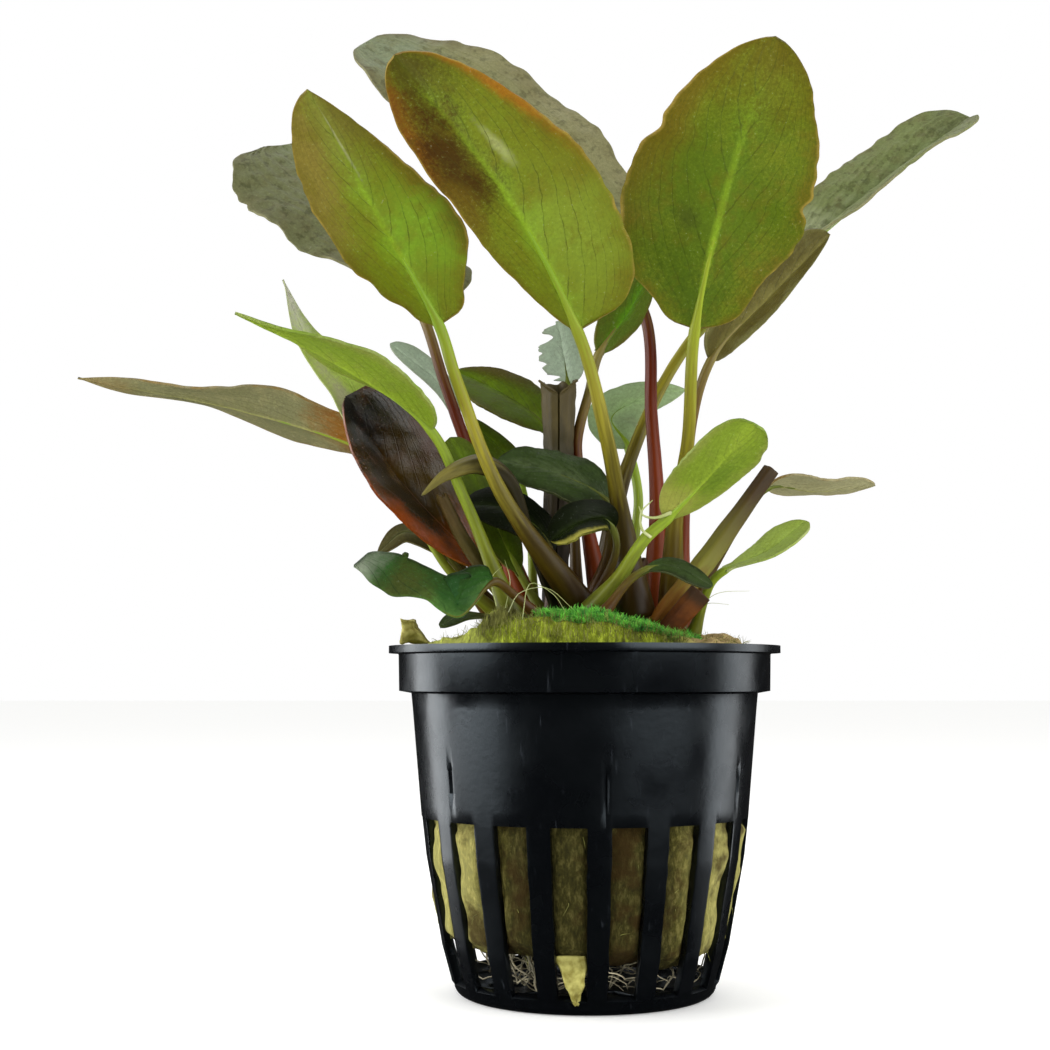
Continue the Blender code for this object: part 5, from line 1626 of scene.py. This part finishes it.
def make_stage():
    """A pale floor, soft lights on both sides and above, and the camera."""
    scene = bpy.context.scene
    scene.view_settings.view_transform = "Standard"
    deselect()
    bpy.ops.mesh.primitive_plane_add(size=6.0, location=(0.0, 0.0, 0.0))
    floor = bpy.context.object
    floor.name = "pale_floor"
    made, tree, output = new_material("pale_floor")
    shader = add_node(
        tree, "BsdfPrincipled",
        {"Base Color": tuple(colours().floor), "Roughness": 0.9, "Emission Strength": 0.2},
    )
    tree.links.new(shader.outputs[0], output.inputs[0])
    floor.data.materials.append(made)
    floor.visible_glossy = False
    world = bpy.data.worlds.new("white_studio")
    world.use_nodes = True
    background = world.node_tree.nodes["Background"]
    background.inputs["Color"].default_value = (1.0, 1.0, 1.0, 1.0)
    ray = add_node(world.node_tree, "LightPath")
    mirrored = add_node(
        world.node_tree, "MapRange", {"To Min": 0.45, "To Max": 0.02},
        {"Value": ray.outputs["Is Glossy Ray"]},
    )
    strength = add_node(
        world.node_tree, "MapRange", {"To Max": 1.0},
        {"Value": ray.outputs["Is Camera Ray"], "To Min": mirrored.outputs[0]},
    )
    world.node_tree.links.new(strength.outputs[0], background.inputs["Strength"])
    scene.world = world
    target = (0.0, 0.0, 60.0)
    area_light("left_softbox", (-505.0, -120.0, 190.0), target, 420.0, 480.0, 3.4)
    area_light("right_softbox", (330.0, -310.0, 190.0), target, 440.0, 420.0, 1.9)
    area_light("left_edge_light", (-480.0, 220.0, 90.0), target, 240.0, 420.0, 1.25)
    area_light("right_edge_light", (500.0, 120.0, 90.0), target, 260.0, 420.0, 0.9)
    deselect()
    bpy.ops.object.light_add(type="SUN", rotation=(math.radians(-24.0), 0.0, 0.0))
    overhead = bpy.context.object
    overhead.name = "overhead_light"
    overhead.data.energy = 1.5
    overhead.data.angle = math.radians(60.0)
    bpy.ops.object.camera_add(
        location=Vector(CAMERA_PLACE) * MM, rotation=(math.radians(CAMERA_TILT), 0.0, 0.0)
    )
    camera = bpy.context.object
    camera.data.lens = CAMERA_LENS
    camera.data.sensor_width = 36.0
    camera.data.clip_start = 0.01
    scene.camera = camera


class LAGENANDRA_OT_stage(bpy.types.Operator):
    """Add the pale floor, the soft lights and the camera"""

    bl_idname = "lagenandra.stage"
    bl_label = "Stage"

    def execute(self, context):
        make_stage()
        return {"FINISHED"}


class LAGENANDRA_OT_net_pot(bpy.types.Operator):
    """Build the moulded net pot with its slots and stacking grooves"""

    bl_idname = "lagenandra.net_pot"
    bl_label = "Net pot"

    def execute(self, context):
        make_net_pot()
        return {"FINISHED"}


class LAGENANDRA_OT_rock_wool(bpy.types.Operator):
    """Build the rock wool plug, its corner block and its loose fibres"""

    bl_idname = "lagenandra.rock_wool"
    bl_label = "Rock wool"

    def execute(self, context):
        make_rock_wool()
        return {"FINISHED"}


class LAGENANDRA_OT_moss(bpy.types.Operator):
    """Build the moss cushion and its shoots"""

    bl_idname = "lagenandra.moss"
    bl_label = "Moss"

    def execute(self, context):
        make_moss()
        return {"FINISHED"}


class LAGENANDRA_OT_roots(bpy.types.Operator):
    """Build the fine curly roots below the wool"""

    bl_idname = "lagenandra.roots"
    bl_label = "Roots"

    def execute(self, context):
        make_roots()
        return {"FINISHED"}


class LAGENANDRA_OT_leaves(bpy.types.Operator):
    """Build every leaf with its petiole"""

    bl_idname = "lagenandra.leaves"
    bl_label = "Leaves"

    def execute(self, context):
        make_leaves()
        return {"FINISHED"}


class LAGENANDRA_OT_cut_stalks(bpy.types.Operator):
    """Build the cut stalks, the sheaths and the rolled leaf"""

    bl_idname = "lagenandra.cut_stalks"
    bl_label = "Cut stalks"

    def execute(self, context):
        make_cut_stalks()
        return {"FINISHED"}


class LAGENANDRA_OT_hairs(bpy.types.Operator):
    """Build the loose root hairs and young tendrils"""

    bl_idname = "lagenandra.hairs"
    bl_label = "Root hairs"

    def execute(self, context):
        make_hairs()
        return {"FINISHED"}


OPERATORS = (
    LAGENANDRA_OT_stage, LAGENANDRA_OT_net_pot, LAGENANDRA_OT_rock_wool, LAGENANDRA_OT_moss,
    LAGENANDRA_OT_roots, LAGENANDRA_OT_leaves, LAGENANDRA_OT_cut_stalks, LAGENANDRA_OT_hairs,
)


class LAGENANDRA_PT_panel(bpy.types.Panel):
    """Sizes, colours and the pieces in the order that they are built"""

    bl_label = "Potted lagenandra"
    bl_idname = "LAGENANDRA_PT_panel"
    bl_space_type = "VIEW_3D"
    bl_region_type = "UI"
    bl_category = "Lagenandra"

    def draw(self, context):
        for group in (context.scene.lagenandra_sizes, context.scene.lagenandra_colours):
            for name in type(group).__annotations__:
                self.layout.prop(group, name)
        for operator in OPERATORS:
            self.layout.operator(operator.bl_idname)


CLASSES = (LagenandraSizes, LagenandraColours, *OPERATORS, LAGENANDRA_PT_panel)


def register():
    for one in CLASSES:
        bpy.utils.register_class(one)
    bpy.types.Scene.lagenandra_sizes = bpy.props.PointerProperty(type=LagenandraSizes)
    bpy.types.Scene.lagenandra_colours = bpy.props.PointerProperty(type=LagenandraColours)


def unregister():
    del bpy.types.Scene.lagenandra_colours
    del bpy.types.Scene.lagenandra_sizes
    for one in reversed(CLASSES):
        bpy.utils.unregister_class(one)


def main():
    register()
    bpy.ops.lagenandra.stage()
    bpy.ops.lagenandra.net_pot()
    bpy.ops.lagenandra.rock_wool()
    bpy.ops.lagenandra.moss()
    bpy.ops.lagenandra.roots()
    bpy.ops.lagenandra.leaves()
    bpy.ops.lagenandra.cut_stalks()
    bpy.ops.lagenandra.hairs()


if __name__ == "__main__":
    main()
